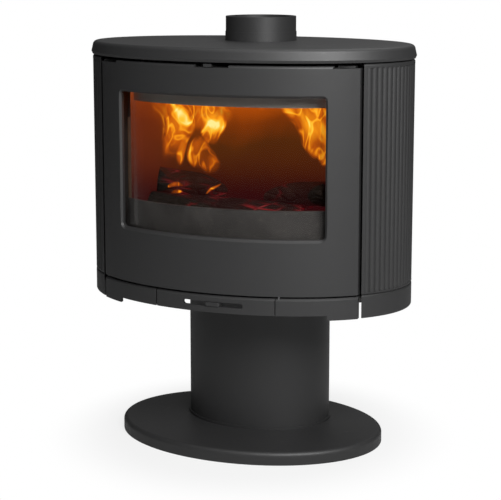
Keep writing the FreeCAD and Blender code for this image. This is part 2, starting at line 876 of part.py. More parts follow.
def hinge_bracket_lower():
    """Bracket on the stove's floor that carries the door's lower pin."""
    plate_high = bracket_low_start + bracket_low_thickness
    left = hinge_x - bracket_radius
    right = -frame_half_width - bracket_frame_hold
    back = hinge_y + bracket_low_back
    front = hinge_y + bracket_low_front
    foot = block(left, right, front, back, floor_top, plate_high)
    arm = block(left, right, hinge_y, back, bracket_low_start, plate_high)
    boss = rod(hinge_x, hinge_y, bracket_low_start, plate_high, bracket_radius)
    plate = join([foot, arm, boss]).common(casing_oval(floor_depth, floor_top, plate_high).fuse(
        rod(hinge_x, hinge_y, bracket_low_start, plate_high, bracket_radius)))
    return plate.cut(rod(hinge_x, hinge_y, bracket_low_start, plate_high, hinge_pin_radius))


def hinge_pin_lower():
    """Pin fixed in the lower bracket."""
    return rod(hinge_x, hinge_y, bracket_low_start, door_bottom + hinge_pin_length - hinge_pin_end_gap,
               hinge_pin_radius)


def hinge_pin_upper():
    """Pin fixed in the upper bracket."""
    low = notch_floor - hinge_pin_length + hinge_pin_end_gap
    return rod(hinge_x, hinge_y, low, frame_top + bracket_top_thickness, hinge_pin_radius)


# ---- firebox -------------------------------------------------------------
def box_plan(inset, front_y):
    """Plan polygon of the firebox, inside its outer faces by the inset."""
    side = box_half_width - inset
    back = box_back_y - inset
    lean = (box_back_y - box_side_end) / (box_half_width - box_back_half)
    drop = inset * math.sqrt(1 + lean * lean)
    corner_y = box_side_end + lean * inset - drop
    corner_x = side - (back - corner_y) / lean
    return [(-side, front_y), (side, front_y), (side, corner_y), (corner_x, back),
            (-corner_x, back), (-side, corner_y)]


def firebox_floor():
    """Cast floor that everything stands on, with lugs that hold the casing."""
    high = floor_top
    plate = casing_oval(floor_depth, floor_bottom, high)
    half = lug_half_width
    lug_x = (seam_x + door_half_width) / 2
    lugs = [block(-far, far, -half, half, floor_bottom, high),
            block(-half, half, -far, far, floor_bottom, high),
            block(-lug_x - half, -lug_x + half, -far, 0, floor_bottom, high)]
    lugs = join(lugs).common(casing_oval(casting_wall, floor_bottom, high))
    plate = join([plate, lugs])
    plate = plate.cut([rod(x, y, floor_bottom, high, bolt_radius) for x, y in outer_bolts()])
    plate = plate.cut(rod(0, lever_pivot_y, floor_bottom, high, lever_pin_radius))
    return plate.cut(air_hole(floor_bottom, high))


def front_frame():
    """Curved cast frame that the door closes on."""
    low = floor_top
    frame = casing_shell(frame_front, frame_back, low, frame_top)
    frame = frame.common(plain_opening(frame_half_width, low, frame_top))
    return frame.cut(plain_opening(frame_opening_half, frame_opening_bottom, frame_opening_top))


def behind_frame(low, high):
    """Everything inside the back of the front frame."""
    return casing_oval(frame_back, low, high)


def firebox_side_right():
    """Steel side wall."""
    low = floor_top
    side = block(box_half_width - box_wall, box_half_width, -far, box_plan(box_wall, 0)[2][1], low, box_top)
    return side.common(behind_frame(low, box_top))


def firebox_side_left():
    """Steel side wall on the left."""
    return mirror_x(firebox_side_right())


def firebox_back():
    """Back wall, bent forward at both corners."""
    low = floor_top
    start = box_plan(box_wall, 0)[2][1]
    outer = upright_plate(box_plan(0, -far), low, box_top)
    inner = upright_plate(box_plan(box_wall, -far), low, box_top)
    return outer.cut(inner).common(block(-far, far, start, far, low, box_top))


def firebox_top():
    """Top plate with the flue hole and a row of air slots."""
    high = box_top + box_top_thickness
    plate = upright_plate(box_plan(0, -far), box_top, high).common(behind_frame(box_top, high))
    plate = plate.cut(rod(0, flue_centre_y, box_top, high, flue_radius - flue_wall))
    plate = plate.cut([rod(x, y, box_top, high, bolt_radius) for x, y in flue_bolt_spots()])
    return plate.cut(air_slots(box_top, high))


def air_slots(low, high):
    """Row of slots in the top plate, which the slider covers or opens."""
    middle = slider_front_y + slider_depth / 2
    slots = []
    for number in range(air_slot_count):
        x = (number - (air_slot_count - 1) / 2) * slider_slot_pitch
        slots.append(block(x - slider_slot_length / 2, x + slider_slot_length / 2,
                           middle - slider_slot_width / 2, middle + slider_slot_width / 2, low, high))
    return group(slots)


def bed_ledges():
    """Two ledges on the side walls that carry the fire bed."""
    inner = box_half_width - box_wall
    right = block(inner - ledge_width, inner, liner_front_y, liner_side_end,
                  bed_bottom - bed_ledge, bed_bottom)
    return group([right, mirror_x(right)])


def fire_bed():
    """Cast fire bed with the stepped opening for the grate."""
    high = bed_top
    bed = upright_plate(box_plan(box_wall + piece_gap, -far), bed_bottom, high)
    bed = bed.common(casing_oval(bed_front_depth, bed_bottom, high))
    outer = grate_half_width + piece_gap
    bed = bed.cut(block(-outer, outer, grate_front_y - piece_gap, grate_back_y + piece_gap,
                        high - grate_thickness, high))
    inner = grate_half_width - grate_step
    return bed.cut(block(-inner, inner, grate_front_y + grate_step, grate_back_y - grate_step,
                         bed_bottom, high))


def grate():
    """Cast grate with a row of slots."""
    high = bed_top
    plate = block(-grate_half_width, grate_half_width, grate_front_y, grate_back_y,
                  high - grate_thickness, high)
    pitch = (2 * grate_half_width - grate_slot_margin) / grate_slots
    for number in range(grate_slots):
        x = (number - (grate_slots - 1) / 2) * pitch
        plate = plate.cut(block(x - grate_slot_width / 2, x + grate_slot_width / 2,
                                grate_front_y + grate_slot_margin, grate_back_y - grate_slot_margin,
                                high - grate_thickness, high))
    return plate


def ash_pan():
    """Sheet-steel pan under the grate, open on top."""
    high = pan_bottom + pan_height
    pan = block(-pan_half_width, pan_half_width, pan_front_y, pan_back_y, pan_bottom, high)
    return pan.cut(block(pan_wall - pan_half_width, pan_half_width - pan_wall, pan_front_y + pan_wall,
                         pan_back_y - pan_wall, pan_bottom + pan_wall, high))


def ash_pan_rails():
    """Two rails that the pan slides on."""
    low = floor_top
    inner = rail_half_spacing - rail_width / 2
    right = block(inner, inner + rail_width, pan_front_y, pan_back_y, low, pan_bottom)
    return group([right, mirror_x(right)])


def liner_right():
    """Heat-proof board along the right wall."""
    inner = box_half_width - box_wall - piece_gap
    return block(inner - liner_thickness, inner, liner_front_y, liner_side_end,
                 bed_top, liner_top)


def liner_left():
    """Board along the left wall."""
    return mirror_x(liner_right())


def liner_back():
    """Board along the back wall."""
    back = box_back_y - box_wall - piece_gap
    return block(-liner_back_half, liner_back_half, back - liner_thickness, back,
                 bed_top, liner_top)


def liner_corner_right():
    """Board across the right back corner."""
    plan = box_plan(box_wall + piece_gap, 0)
    start = point(plan[2][0], plan[2][1])
    end = point(plan[3][0], plan[3][1])
    along = (end - start).normalize()
    inward = point(-along.y, along.x)
    length = (end - start).Length
    corners = []
    near = liner_corner_margin * length
    for distance, depth in ((near, 0), (length - near, 0), (length - near, liner_thickness),
                            (near, liner_thickness)):
        spot = start + along * distance + inward * depth
        corners.append((spot.x, spot.y))
    return upright_plate(corners, bed_top, liner_top)


def liner_corner_left():
    """Board across the left back corner."""
    return mirror_x(liner_corner_right())


def baffle_plate():
    """Board that lies on the liners and turns the smoke forward."""
    plan = box_plan(box_wall + piece_gap, baffle_front_y)
    return upright_plate(plan, liner_top, liner_top + baffle_thickness)


def log_guard():
    """Curved cast bar that keeps the logs off the glass."""
    low = bed_top
    guard = casing_shell(guard_front, guard_front + guard_thickness, low, guard_top)
    return guard.common(plain_opening(guard_half_width, low, guard_top))


def air_deflector():
    """Curved sheet behind the top of the window that leads air down over the glass."""
    sheet = casing_shell(deflector_front, deflector_front + deflector_thickness, deflector_bottom, box_top)
    return sheet.common(plain_opening(deflector_half_width, deflector_bottom, box_top))


def casing_arms():
    """Steel arms from the firebox to the side panels and the back panel."""
    arms = []
    half = bracket_arm_half
    for low in bracket_arm_heights:
        high = low + bracket_arm_thickness
        side = block(box_half_width, far, -half, half, low, high)
        side = side.common(casing_oval(casting_wall, low, high))
        back = block(-half, half, box_back_y, far, low, high)
        back = back.common(casing_oval(sheet_wall, low, high))
        arms.extend([side, mirror_x(side), back])
    return group(arms)


# ---- air controls --------------------------------------------------------
def sector(inner, outer, half_angle, low, high):
    """Ring sector about the lever's pivot, opening to the front."""
    ring = rod(0, lever_pivot_y, low, high, outer)
    if inner > 0:
        ring = ring.cut(rod(0, lever_pivot_y, low, high, inner))
    reach = far * math.tan(math.radians(half_angle))
    wedge = upright_plate([(0, lever_pivot_y), (reach, lever_pivot_y - far), (-reach, lever_pivot_y - far)],
                          low, high)
    return ring.common(wedge)


def air_hole(low, high):
    """Curved hole in the floor for the main combustion air."""
    half = air_hole_width / 2
    return sector(air_hole_radius - half, air_hole_radius + half, air_hole_half_angle, low, high)


def lever_pin_hole(low, high):
    """Hole round the lever's pin."""
    return rod(0, lever_pivot_y, low, high, lever_pin_radius + running_gap)


def air_lever():
    """Flat lever under the floor with its finger tab in the slot."""
    low = slot_centre_height - lever_thickness / 2
    high = low + lever_thickness
    bar = block(-lever_half_width, lever_half_width, lever_end_y, lever_pivot_y, low, high)
    hub = rod(0, lever_pivot_y, low, high, lever_hub_radius)
    return join([bar, hub]).cut(lever_pin_hole(low, high))


def air_lever_tab():
    """Cast finger tab on the lever's end."""
    half = lever_tab_height / 2
    tab = block(-lever_tab_half, lever_tab_half, -casing_half_depth - lever_tab_proud,
                lever_end_y, slot_centre_height - half, slot_centre_height + half)
    upright = [edge for edge in tab.Edges
               if abs(edge.tangentAt(0).z) > near_parallel and edge.Vertexes[0].Point.y < -casing_half_depth]
    return tab.makeFillet(lever_tab_radius, upright)


def air_valve_plate():
    """Plate on the lever that covers or opens the hole in the floor."""
    low = slot_centre_height + lever_thickness / 2
    high = low + valve_thickness
    plate = sector(0, valve_radius, valve_half_angle, low, high)
    hub = rod(0, lever_pivot_y, low, high, lever_hub_radius)
    half = air_hole_width / 2
    plate = join([plate, hub]).cut(sector(air_hole_radius - half, air_hole_radius + half,
                                          air_hole_half_angle, low, high))
    return plate.cut(lever_pin_hole(low, high))


def air_lever_pin():
    """Headed pin under the floor that the lever turns on."""
    head_high = slot_centre_height - lever_thickness / 2 - swing_gap
    head_low = head_high - lever_pin_head_height
    pin = rod(0, lever_pivot_y, head_high, floor_top, lever_pin_radius)
    return pin.fuse(rod(0, lever_pivot_y, head_low, head_high, lever_pin_head_radius))


def airwash_slider():
    """Slotted plate on the firebox top that meters the air over the glass."""
    low = box_top + box_top_thickness + soft_gap
    high = low + slider_thickness
    back_y = slider_front_y + slider_depth
    plate = block(-slider_half_length, slider_half_length, slider_front_y, back_y, low, high)
    plate = plate.cut(air_slots(low, high))
    x_low = slider_tab_x - slider_tab_half
    x_high = slider_tab_x + slider_tab_half
    riser_front = casing_front_y(0, frame_back) + slider_riser_gap
    riser_back = riser_front + slider_tab_thickness
    foot = block(x_low, x_high, riser_front, slider_front_y, low, high)
    tab_high = slider_tab_bottom + slider_tab_thickness
    riser = block(x_low, x_high, riser_front, riser_back, low, tab_high)
    arm = block(x_low, x_high, casing_front_y(0, slider_lug_depth + slider_lug_thickness), riser_back,
                slider_tab_bottom, tab_high)
    return join([plate, foot, riser, arm])


def airwash_knob():
    """Small cast lug on the slider, in the notch above the door."""
    front = -casing_half_depth + slider_lug_depth
    knob = block(slider_tab_x - slider_tab_half, slider_tab_x + slider_tab_half, front,
                 casing_front_y(0, slider_lug_depth + slider_lug_thickness),
                 slider_tab_bottom, slider_tab_bottom + slider_lug_height)
    edges = [edge for edge in knob.Edges if abs(edge.tangentAt(0).y) > near_parallel]
    return knob.makeFillet(slider_lug_radius, edges)


pieces = [
    base_plate, tube_foot_ring, foot_ring_bolts, pedestal_tube, tube_top_flange, top_flange_bolts,
    firebox_floor, side_skirt_left, side_skirt_right, back_skirt, side_panel_left, side_panel_right,
    back_panel, casing_arms, lid, lid_posts, flue_collar, flue_collar_bolts, apron_centre, apron_left,
    front_frame, firebox_side_left, firebox_side_right, firebox_back, firebox_top, bed_ledges, fire_bed,
    grate, ash_pan, ash_pan_rails, liner_left, liner_right, liner_back, liner_corner_left,
    liner_corner_right, baffle_plate, log_guard, air_deflector, hinge_bracket_upper, catch_bracket,
    hinge_bracket_lower, hinge_pin_upper, hinge_pin_lower, latch_keeper, door_casting, door_glass,
    glass_seal, glass_retainer_top, glass_retainer_bottom, glass_retainer_screws, door_seal, handle_pin,
    door_handle, latch_tongue, air_lever, air_lever_tab, air_valve_plate, air_lever_pin, airwash_slider,
    airwash_knob,
]

os.makedirs("parts", exist_ok=True)
for piece in pieces:
    shape = piece()
    shape.exportStep(os.path.join("parts", piece.__name__ + ".step"))
    print(piece.__name__, len(shape.Solids), round(shape.Volume / 1000), shape.isValid())
print("%.1f %.1f" % (hinge_y, handle_pivot_y), "seam radius %.2f" % seam_radius)
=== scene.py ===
import json
import math

import bmesh
import bpy
from mathutils import Matrix, Vector, noise


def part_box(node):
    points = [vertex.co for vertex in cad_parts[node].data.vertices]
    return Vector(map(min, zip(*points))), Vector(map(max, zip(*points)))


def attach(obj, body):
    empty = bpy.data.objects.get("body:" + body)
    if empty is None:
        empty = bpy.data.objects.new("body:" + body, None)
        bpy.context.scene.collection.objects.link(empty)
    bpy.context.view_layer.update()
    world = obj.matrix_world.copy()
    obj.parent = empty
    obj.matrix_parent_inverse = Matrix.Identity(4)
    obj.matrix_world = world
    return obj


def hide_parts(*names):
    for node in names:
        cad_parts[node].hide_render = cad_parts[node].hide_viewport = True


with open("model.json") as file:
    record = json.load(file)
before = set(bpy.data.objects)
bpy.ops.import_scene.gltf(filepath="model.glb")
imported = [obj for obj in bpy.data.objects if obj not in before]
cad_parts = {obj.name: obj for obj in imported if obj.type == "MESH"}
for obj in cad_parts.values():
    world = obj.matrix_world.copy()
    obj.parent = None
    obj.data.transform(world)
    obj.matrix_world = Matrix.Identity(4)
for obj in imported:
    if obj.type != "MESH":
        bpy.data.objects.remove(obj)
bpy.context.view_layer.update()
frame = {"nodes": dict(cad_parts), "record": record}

bl_info = {
    "name": "Pedestal wood stove",
    "version": (1, 0, 0),
    "blender": (4, 5, 0),
    "location": "3D View > Sidebar > Stove",
    "description": "Finishes, seals, fire and studio for the packed pedestal wood stove",
    "category": "Object",
}

SENSOR_WIDTH = 36.0  # millimetres

# The casing is an oval in plan; a "depth" is how far a line lies inside it.
CASING_HALF_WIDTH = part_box("side_panel_right")[1].x
CASING_HALF_DEPTH = -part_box("door_casting")[0].y
BED_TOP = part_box("fire_bed")[1].z
BOARD_INNER_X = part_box("liner_right")[0].x
BOARD_BACK_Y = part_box("liner_back")[0].y
BAFFLE_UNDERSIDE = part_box("baffle_plate")[0].z
GUARD_BACK_DEPTH = 0.040

# Seals: the width of each band, how deep its middle line lies and how far apart its points are.
DOOR_ROPE_WIDTH = 0.009
DOOR_ROPE_DEPTH = 0.01685
GLASS_TAPE_WIDTH = 0.008
GLASS_TAPE_DEPTH = 0.015
SEAL_STEP = 0.0022

# Logs: how finely they are divided, and how deep bark and swellings go, as shares of the radius.
LOG_SIDES = 30
LOG_CUTS = 46
BARK_DEPTH = 0.045
LOG_SWELL = 0.16

# Embers: the gap left at the boards and the guard, and the heights that make up the heap.
EMBER_SIDE_GAP = 0.002
EMBER_GUARD_GAP = 0.001
EMBER_FOOT = 0.0005
EMBER_LEAST = 0.006
EMBER_HEAP = 0.016
EMBER_LUMP = 0.014
LUMP_COUNT = 34
LUMP_HEIGHT = 0.030
GOLDEN_ANGLE = 2.399963

# Fire: the top of every sheet of flame and haze.
SHEET_TOP = 0.786


# ---- shader writing ---------------------------------------------------------
class Amount:
    """A number that varies over a surface; Python arithmetic on it adds Math nodes."""

    def __init__(self, finish, socket):
        self.finish = finish
        self.socket = socket

    def _maths(self, operation, *values):
        node = self.finish.add("ShaderNodeMath", {"operation": operation}, dict(enumerate(values)))
        return Amount(self.finish, node.outputs[0])

    def __add__(self, other):
        return self._maths("ADD", self, other)

    def __radd__(self, other):
        return self._maths("ADD", other, self)

    def __sub__(self, other):
        return self._maths("SUBTRACT", self, other)

    def __rsub__(self, other):
        return self._maths("SUBTRACT", other, self)

    def __mul__(self, other):
        return self._maths("MULTIPLY", self, other)

    def __rmul__(self, other):
        return self._maths("MULTIPLY", other, self)

    def __truediv__(self, other):
        return self._maths("DIVIDE", self, other)

    def __rtruediv__(self, other):
        return self._maths("DIVIDE", other, self)

    def __pow__(self, other):
        return self._maths("POWER", self, other)

    def larger(self, other):
        """The larger of two amounts."""
        return self._maths("MAXIMUM", self, other)

    def size(self):
        """The amount without its sign."""
        return self._maths("ABSOLUTE", self)

    def clamped(self):
        """The amount kept from 0 to 1."""
        node = self.finish.add("ShaderNodeClamp", None, {"Value": self})
        return Amount(self.finish, node.outputs[0])

    def between(self, low, high, smooth=True):
        """0 below low, 1 above high, and a ramp between."""
        kind = "SMOOTHSTEP" if smooth else "LINEAR"
        node = self.finish.add("ShaderNodeMapRange", {"interpolation_type": kind},
                               {"Value": self, "From Min": low, "From Max": high})
        return Amount(self.finish, node.outputs[0])


class Nodes:
    """A node tree while it is being written."""

    def __init__(self, tree):
        self.tree = tree
        self.tree.nodes.clear()

    def add(self, kind, options=None, inputs=None):
        """A node of that type, its options first and then its inputs."""
        node = self.tree.nodes.new(kind)
        for key, value in (options or {}).items():
            if key == "stops":
                self.set_stops(node.color_ramp, value)
            else:
                setattr(node, key, value)
        for key, value in (inputs or {}).items():
            self.feed(node.inputs[key], value)
        return node

    def set_stops(self, ramp, stops):
        """Replaces a colour ramp's stops with (position, colour) pairs."""
        while len(ramp.elements) > 1:
            ramp.elements.remove(ramp.elements[-1])
        ramp.elements[0].position, ramp.elements[0].color = stops[0]
        for position, colour in stops[1:]:
            ramp.elements.new(position).color = colour

    def feed(self, socket, value):
        """Links a socket or an amount, or sets a plain value."""
        if isinstance(value, Amount):
            self.tree.links.new(value.socket, socket)
        elif isinstance(value, bpy.types.NodeSocket):
            self.tree.links.new(value, socket)
        else:
            socket.default_value = value

    def end_in_mix(self, share, first, second, output="ShaderNodeOutputMaterial"):
        """Ends the tree in two shaders mixed by a share."""
        both = self.add("ShaderNodeMixShader", None, {0: share, 1: first, 2: second}).outputs[0]
        self.add(output, None, {"Surface": both})


class Finish(Nodes):
    """One material while its nodes are being written."""

    def __init__(self, name):
        self.material = bpy.data.materials.new(name)
        self.material.use_nodes = True
        super().__init__(self.material.node_tree)
        self.place = self.add("ShaderNodeTexCoord").outputs["Object"]

    def stretched(self, scale, location=(0, 0, 0), turn=(0, 0, 0)):
        """The object's own coordinates, stretched, turned and moved."""
        node = self.add("ShaderNodeMapping", None, {
            "Vector": self.place, "Scale": scale, "Location": location, "Rotation": turn})
        return node.outputs[0]

    def axis(self, name, vector=None):
        """One of the object's own coordinates, in metres."""
        node = self.add("ShaderNodeSeparateXYZ", None, {0: vector or self.place})
        return Amount(self, node.outputs[name])

    def noise(self, scale, detail=2.0, roughness=0.5, distortion=0.0, at=None):
        """Noise from about 0 to 1."""
        node = self.add("ShaderNodeTexNoise", None,
                        {"Vector": at or self.place, "Scale": scale, "Detail": detail,
                         "Roughness": roughness, "Distortion": distortion})
        return Amount(self, node.outputs[0])

    def cells(self, scale, at=None, feature="F1"):
        """Distance to the nearest of scattered points."""
        node = self.add("ShaderNodeTexVoronoi", {"feature": feature},
                        {"Vector": at or self.place, "Scale": scale})
        return Amount(self, node.outputs[0])

    def waves(self, scale, direction, distortion=0.0, at=None):
        """Straight bands across one axis."""
        node = self.add("ShaderNodeTexWave", {"bands_direction": direction},
                        {"Vector": at or self.place, "Scale": scale, "Distortion": distortion})
        return Amount(self, node.outputs[1])

    def mix(self, share, first, second):
        """A colour between two."""
        node = self.add("ShaderNodeMix", {"data_type": "RGBA"}, {0: share, 6: first, 7: second})
        return node.outputs[2]

    def ramp(self, amount, stops):
        """A colour read from a ramp."""
        return self.add("ShaderNodeValToRGB", {"stops": stops}, {0: amount}).outputs[0]

    def bump(self, height, distance, strength=1.0, below=None):
        """A normal from a height; below is a coarser bump that it lies on."""
        inputs = {"Height": height, "Distance": distance, "Strength": strength}
        if below is not None:
            inputs["Normal"] = below
        return self.add("ShaderNodeBump", None, inputs).outputs[0]

    def surface(self, inputs):
        """Ends the material in one Principled surface."""
        node = self.add("ShaderNodeBsdfPrincipled", None, inputs)
        self.add("ShaderNodeOutputMaterial", None, {"Surface": node.outputs[0]})
        return self.material

    def gas(self, colour, strength, alpha):
        """Ends the material in hot gas that only gives light."""
        return self.surface({
            "Base Color": (0, 0, 0, 1),
            "Roughness": 1.0,
            "Specular IOR Level": 0.0,
            "Emission Color": colour,
            "Emission Strength": strength,
            "Alpha": alpha,
        })


def shade(colour, factor):
    """A colour made lighter or darker."""
    return (colour[0] * factor, colour[1] * factor, colour[2] * factor, 1.0)


# ---- settings ---------------------------------------------------------------
class FinishSettings(bpy.types.PropertyGroup):
    """Colours of the stove's finishes."""

    paint: bpy.props.FloatVectorProperty(
        name="Stove paint", description="Matt heat-proof paint on the castings", subtype="COLOR",
        size=3, min=0, max=1, default=(0.019, 0.019, 0.0193))
    steel_paint: bpy.props.FloatVectorProperty(
        name="Steel paint", description="The same paint on sheet steel", subtype="COLOR",
        size=3, min=0, max=1, default=(0.020, 0.020, 0.0203))
    soot: bpy.props.FloatVectorProperty(
        name="Sooted iron", description="Bare cast iron in the firebox", subtype="COLOR",
        size=3, min=0, max=1, default=(0.062, 0.060, 0.059))
    board: bpy.props.FloatVectorProperty(
        name="Fire board", description="Pressed heat-proof boards", subtype="COLOR",
        size=3, min=0, max=1, default=(0.32, 0.20, 0.12))
    rope: bpy.props.FloatVectorProperty(
        name="Rope", description="Glass-fibre rope and tape", subtype="COLOR",
        size=3, min=0, max=1, default=(0.10, 0.10, 0.10))
    bark: bpy.props.FloatVectorProperty(
        name="Charred log", description="Outside of the burning logs", subtype="COLOR",
        size=3, min=0, max=1, default=(0.014, 0.010, 0.008))
    sheet: bpy.props.FloatVectorProperty(
        name="Sheet steel", description="Plated sheet of the ash pan and air controls",
        subtype="COLOR", size=3, min=0, max=1, default=(0.30, 0.29, 0.28))
    fastener: bpy.props.FloatVectorProperty(
        name="Fasteners", description="Plated bolts, screws and pins", subtype="COLOR",
        size=3, min=0, max=1, default=(0.34, 0.34, 0.35))
    # Painted light: this grey is partly the heat-tinted bare steel of the air deflector and partly
    # painted light, made lighter because the band behind the top of the door lies in the door's
    # shadow.
    deflector: bpy.props.FloatVectorProperty(
        name="Air deflector", description="Heat-bleached grey behind the top of the door",
        subtype="COLOR", size=3, min=0, max=1, default=(0.30, 0.285, 0.27))


class FireSettings(bpy.types.PropertyGroup):
    """Sizes and strength of the fire."""

    flame_strength: bpy.props.FloatProperty(
        name="Flame strength", description="Light given by the flames", min=0, default=1.3)
    ember_strength: bpy.props.FloatProperty(
        name="Ember strength", description="Light given by the embers", min=0, default=1.1)
    log_radius: bpy.props.FloatProperty(
        name="Log radius", description="Radius of the thickest log", unit="LENGTH",
        min=0.02, default=0.043)


class StageSettings(bpy.types.PropertyGroup):
    """Camera and studio."""

    distance: bpy.props.FloatProperty(
        name="Camera distance", description="From the middle of the stove, level", unit="LENGTH",
        default=3.0525)
    azimuth: bpy.props.FloatProperty(
        name="Camera azimuth", description="Turned to the right of the front", subtype="ANGLE",
        default=math.radians(20.404))
    height: bpy.props.FloatProperty(
        name="Camera height", description="Above the floor", unit="LENGTH", default=1.0387)
    pitch: bpy.props.FloatProperty(
        name="Camera pitch", description="Looking down", subtype="ANGLE",
        default=math.radians(9.384))
    focal_length: bpy.props.FloatProperty(
        name="Focal length", description="Of the camera's lens, in millimetres", unit="CAMERA",
        default=104.4575)
    rise: bpy.props.FloatProperty(
        name="Lens shift", description="Upwards, as a share of the sensor's width", default=-0.1198)


def settings(kind):
    """The scene's settings of one kind."""
    return getattr(bpy.context.scene, kind)


# ---- materials --------------------------------------------------------------
ASH_DUST = (0.17, 0.15, 0.135, 1.0)
HEAT_MARK = (0.16, 0.13, 0.11, 1.0)
BOARD_SOOT = (0.035, 0.026, 0.02, 1.0)
GLASS_TINT = (0.92, 0.91, 0.90, 1.0)
GLASS_SHEEN = (0.9, 0.9, 0.9, 1.0)
BARK_ASH = (0.085, 0.065, 0.052, 1.0)
CHARCOAL = (0.016, 0.011, 0.010, 1.0)
EMBER_ASH = (0.10, 0.085, 0.08, 1.0)
# Painted firelight: the glowing haze sheets carry these colours in place of the fire's light on the
# boards, redder on the left wall and dark red at the bed.
FIRELIGHT_LEFT_WALL = (0.135, 0.019, 0.006, 1.0)
FIRELIGHT_AT_BED = (0.024, 0.002, 0.003, 1.0)

CRACK_STOPS = [
    (0.00, (0.000, 0.000, 0.000, 1)),
    (0.35, (0.300, 0.010, 0.016, 1)),
    (0.75, (0.950, 0.085, 0.030, 1)),
    (1.00, (1.000, 0.340, 0.060, 1)),
]
EMBER_STOPS = [
    (0.00, (0.004, 0.000, 0.001, 1)),
    (0.30, (0.160, 0.006, 0.014, 1)),
    (0.65, (0.750, 0.035, 0.045, 1)),
    (1.00, (1.000, 0.300, 0.100, 1)),
]
FLAME_STOPS = [
    (0.00, (0.060, 0.010, 0.002, 1)),
    (0.22, (0.200, 0.030, 0.003, 1)),
    (0.45, (0.600, 0.110, 0.004, 1)),
    (0.68, (0.950, 0.330, 0.010, 1)),
    (0.86, (1.000, 0.600, 0.045, 1)),
    (1.00, (1.000, 0.880, 0.300, 1)),
]
# Painted firelight on the boards, from dark red low down to orange at the top.
FIRELIGHT_STOPS = [
    (0.00, (0.020, 0.001, 0.002, 1)),
    (0.20, (0.045, 0.004, 0.005, 1)),
    (0.36, (0.070, 0.014, 0.004, 1)),
    (0.55, (0.085, 0.022, 0.004, 1)),
    (0.70, (0.200, 0.036, 0.003, 1)),
    (0.85, (0.500, 0.085, 0.003, 1)),
    (1.00, (0.700, 0.140, 0.004, 1)),
]


def stove_paint(name, colour, grain, roughness):
    """Matt heat-proof paint: fine sand grain, soft cloudiness and slightly uneven sheen."""
    finish = Finish(name)
    cloud = finish.noise(5.0, 3.0, 0.55)
    fine = finish.noise(900.0, 2.0, 0.6)
    pores = finish.cells(420.0)
    tone = (0.80 + 0.30 * cloud + 0.14 * fine).clamped()
    rubbed = finish.noise(38.0, 4.0, 0.65).between(0.60, 0.78)
    base = finish.mix(tone, shade(colour, 0.72), shade(colour, 1.12))
    base = finish.mix(rubbed * 0.22, base, shade(colour, 1.55))
    swell = finish.bump(finish.noise(26.0, 2.0, 0.5), 0.0009, 0.35)
    sand = finish.bump(fine * 0.7 + pores * 0.3, 0.00022 * grain, 0.55, swell)
    return finish.surface({
        "Base Color": base,
        "Roughness": roughness - 0.10 * rubbed + 0.08 * cloud,
        "Specular IOR Level": 0.5,
        "Normal": sand,
    })


def sooted_iron(name, colour):
    """Bare cast iron that soot, ash and heat have stained."""
    finish = Finish(name)
    stain = finish.noise(11.0, 5.0, 0.6)
    ash = finish.noise(75.0, 3.0, 0.6).between(0.55, 0.8)
    base = finish.mix(stain.between(0.35, 0.7), shade(colour, 0.55), shade(colour, 1.0))
    base = finish.mix(ash * 0.30, base, ASH_DUST)
    rough = finish.noise(500.0, 3.0, 0.6)
    return finish.surface({
        "Base Color": base,
        "Roughness": 0.70 + 0.2 * stain,
        "Specular IOR Level": 0.35,
        "Normal": finish.bump(rough, 0.0002, 0.3),
    })


def plated_steel(name, colour, roughness):
    """Bright plated steel with fine brushing and a few darker heat marks."""
    finish = Finish(name)
    lines = finish.noise(60.0, 3.0, 0.6, 0.0, finish.stretched((1.0, 40.0, 40.0)))
    marks = finish.noise(18.0, 4.0, 0.6).between(0.5, 0.8)
    base = finish.mix(lines, shade(colour, 0.8), shade(colour, 1.15))
    base = finish.mix(marks * 0.35, base, HEAT_MARK)
    return finish.surface({
        "Base Color": base,
        "Metallic": 1.0,
        "Roughness": roughness + 0.15 * lines,
        "Normal": finish.bump(lines, 0.0001, 0.4),
    })


def fire_board(name, colour):
    """Pressed board of fine flakes, blackened towards the bottom and in patches."""
    finish = Finish(name)
    flakes = finish.cells(260.0)
    patches = finish.noise(9.0, 4.0, 0.6)
    low = finish.axis("Z").between(BED_TOP + 0.02, BAFFLE_UNDERSIDE, False)
    soot = (1.15 - 0.75 * low + (patches - 0.5) * 0.9).clamped()
    base = finish.mix(flakes, shade(colour, 0.75), shade(colour, 1.2))
    base = finish.mix(soot * 0.85, base, BOARD_SOOT)
    return finish.surface({
        "Base Color": base,
        "Roughness": 0.92,
        "Specular IOR Level": 0.15,
        "Normal": finish.bump(flakes + 0.6 * patches, 0.0006, 0.6),
    })


def stove_glass(name):
    """Ceramic glass: a faint smoky tint and a mirror sheen, blurred by soot low down."""
    finish = Finish(name)
    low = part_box("door_glass")[0]
    haze = 1.0 - finish.axis("Z").between(low.z + 0.015, low.z + 0.075)
    smear = finish.noise(14.0, 3.0, 0.6, 0.0, finish.stretched((1.0, 1.0, 0.4)))
    clear = finish.add("ShaderNodeBsdfTransparent", None, {"Color": GLASS_TINT}).outputs[0]
    sheen = finish.add("ShaderNodeBsdfGlossy", None,
                       {"Color": GLASS_SHEEN, "Roughness": 0.10 + 0.10 * (haze * smear)}).outputs[0]
    gloss = Amount(finish, finish.add("ShaderNodeFresnel", None, {"IOR": 1.33}).outputs[0])
    finish.end_in_mix(gloss * 0.25, clear, sheen)
    return finish.material


def glass_rope(name, colour):
    """Soft woven fibre: fine crossing threads over each strand."""
    finish = Finish(name)
    threads = finish.waves(420.0, "DIAGONAL", 1.5)
    tufts = finish.noise(700.0, 3.0, 0.6)
    base = finish.mix(threads, shade(colour, 0.55), shade(colour, 1.3))
    base = finish.mix(tufts.between(0.5, 0.8) * 0.4, base, shade(colour, 1.9))
    return finish.surface({
        "Base Color": base,
        "Roughness": 0.9,
        "Specular IOR Level": 0.2,
        "Sheen Weight": 0.25,
        "Normal": finish.bump(threads * 0.7 + tufts * 0.3, 0.0004, 0.8),
    })


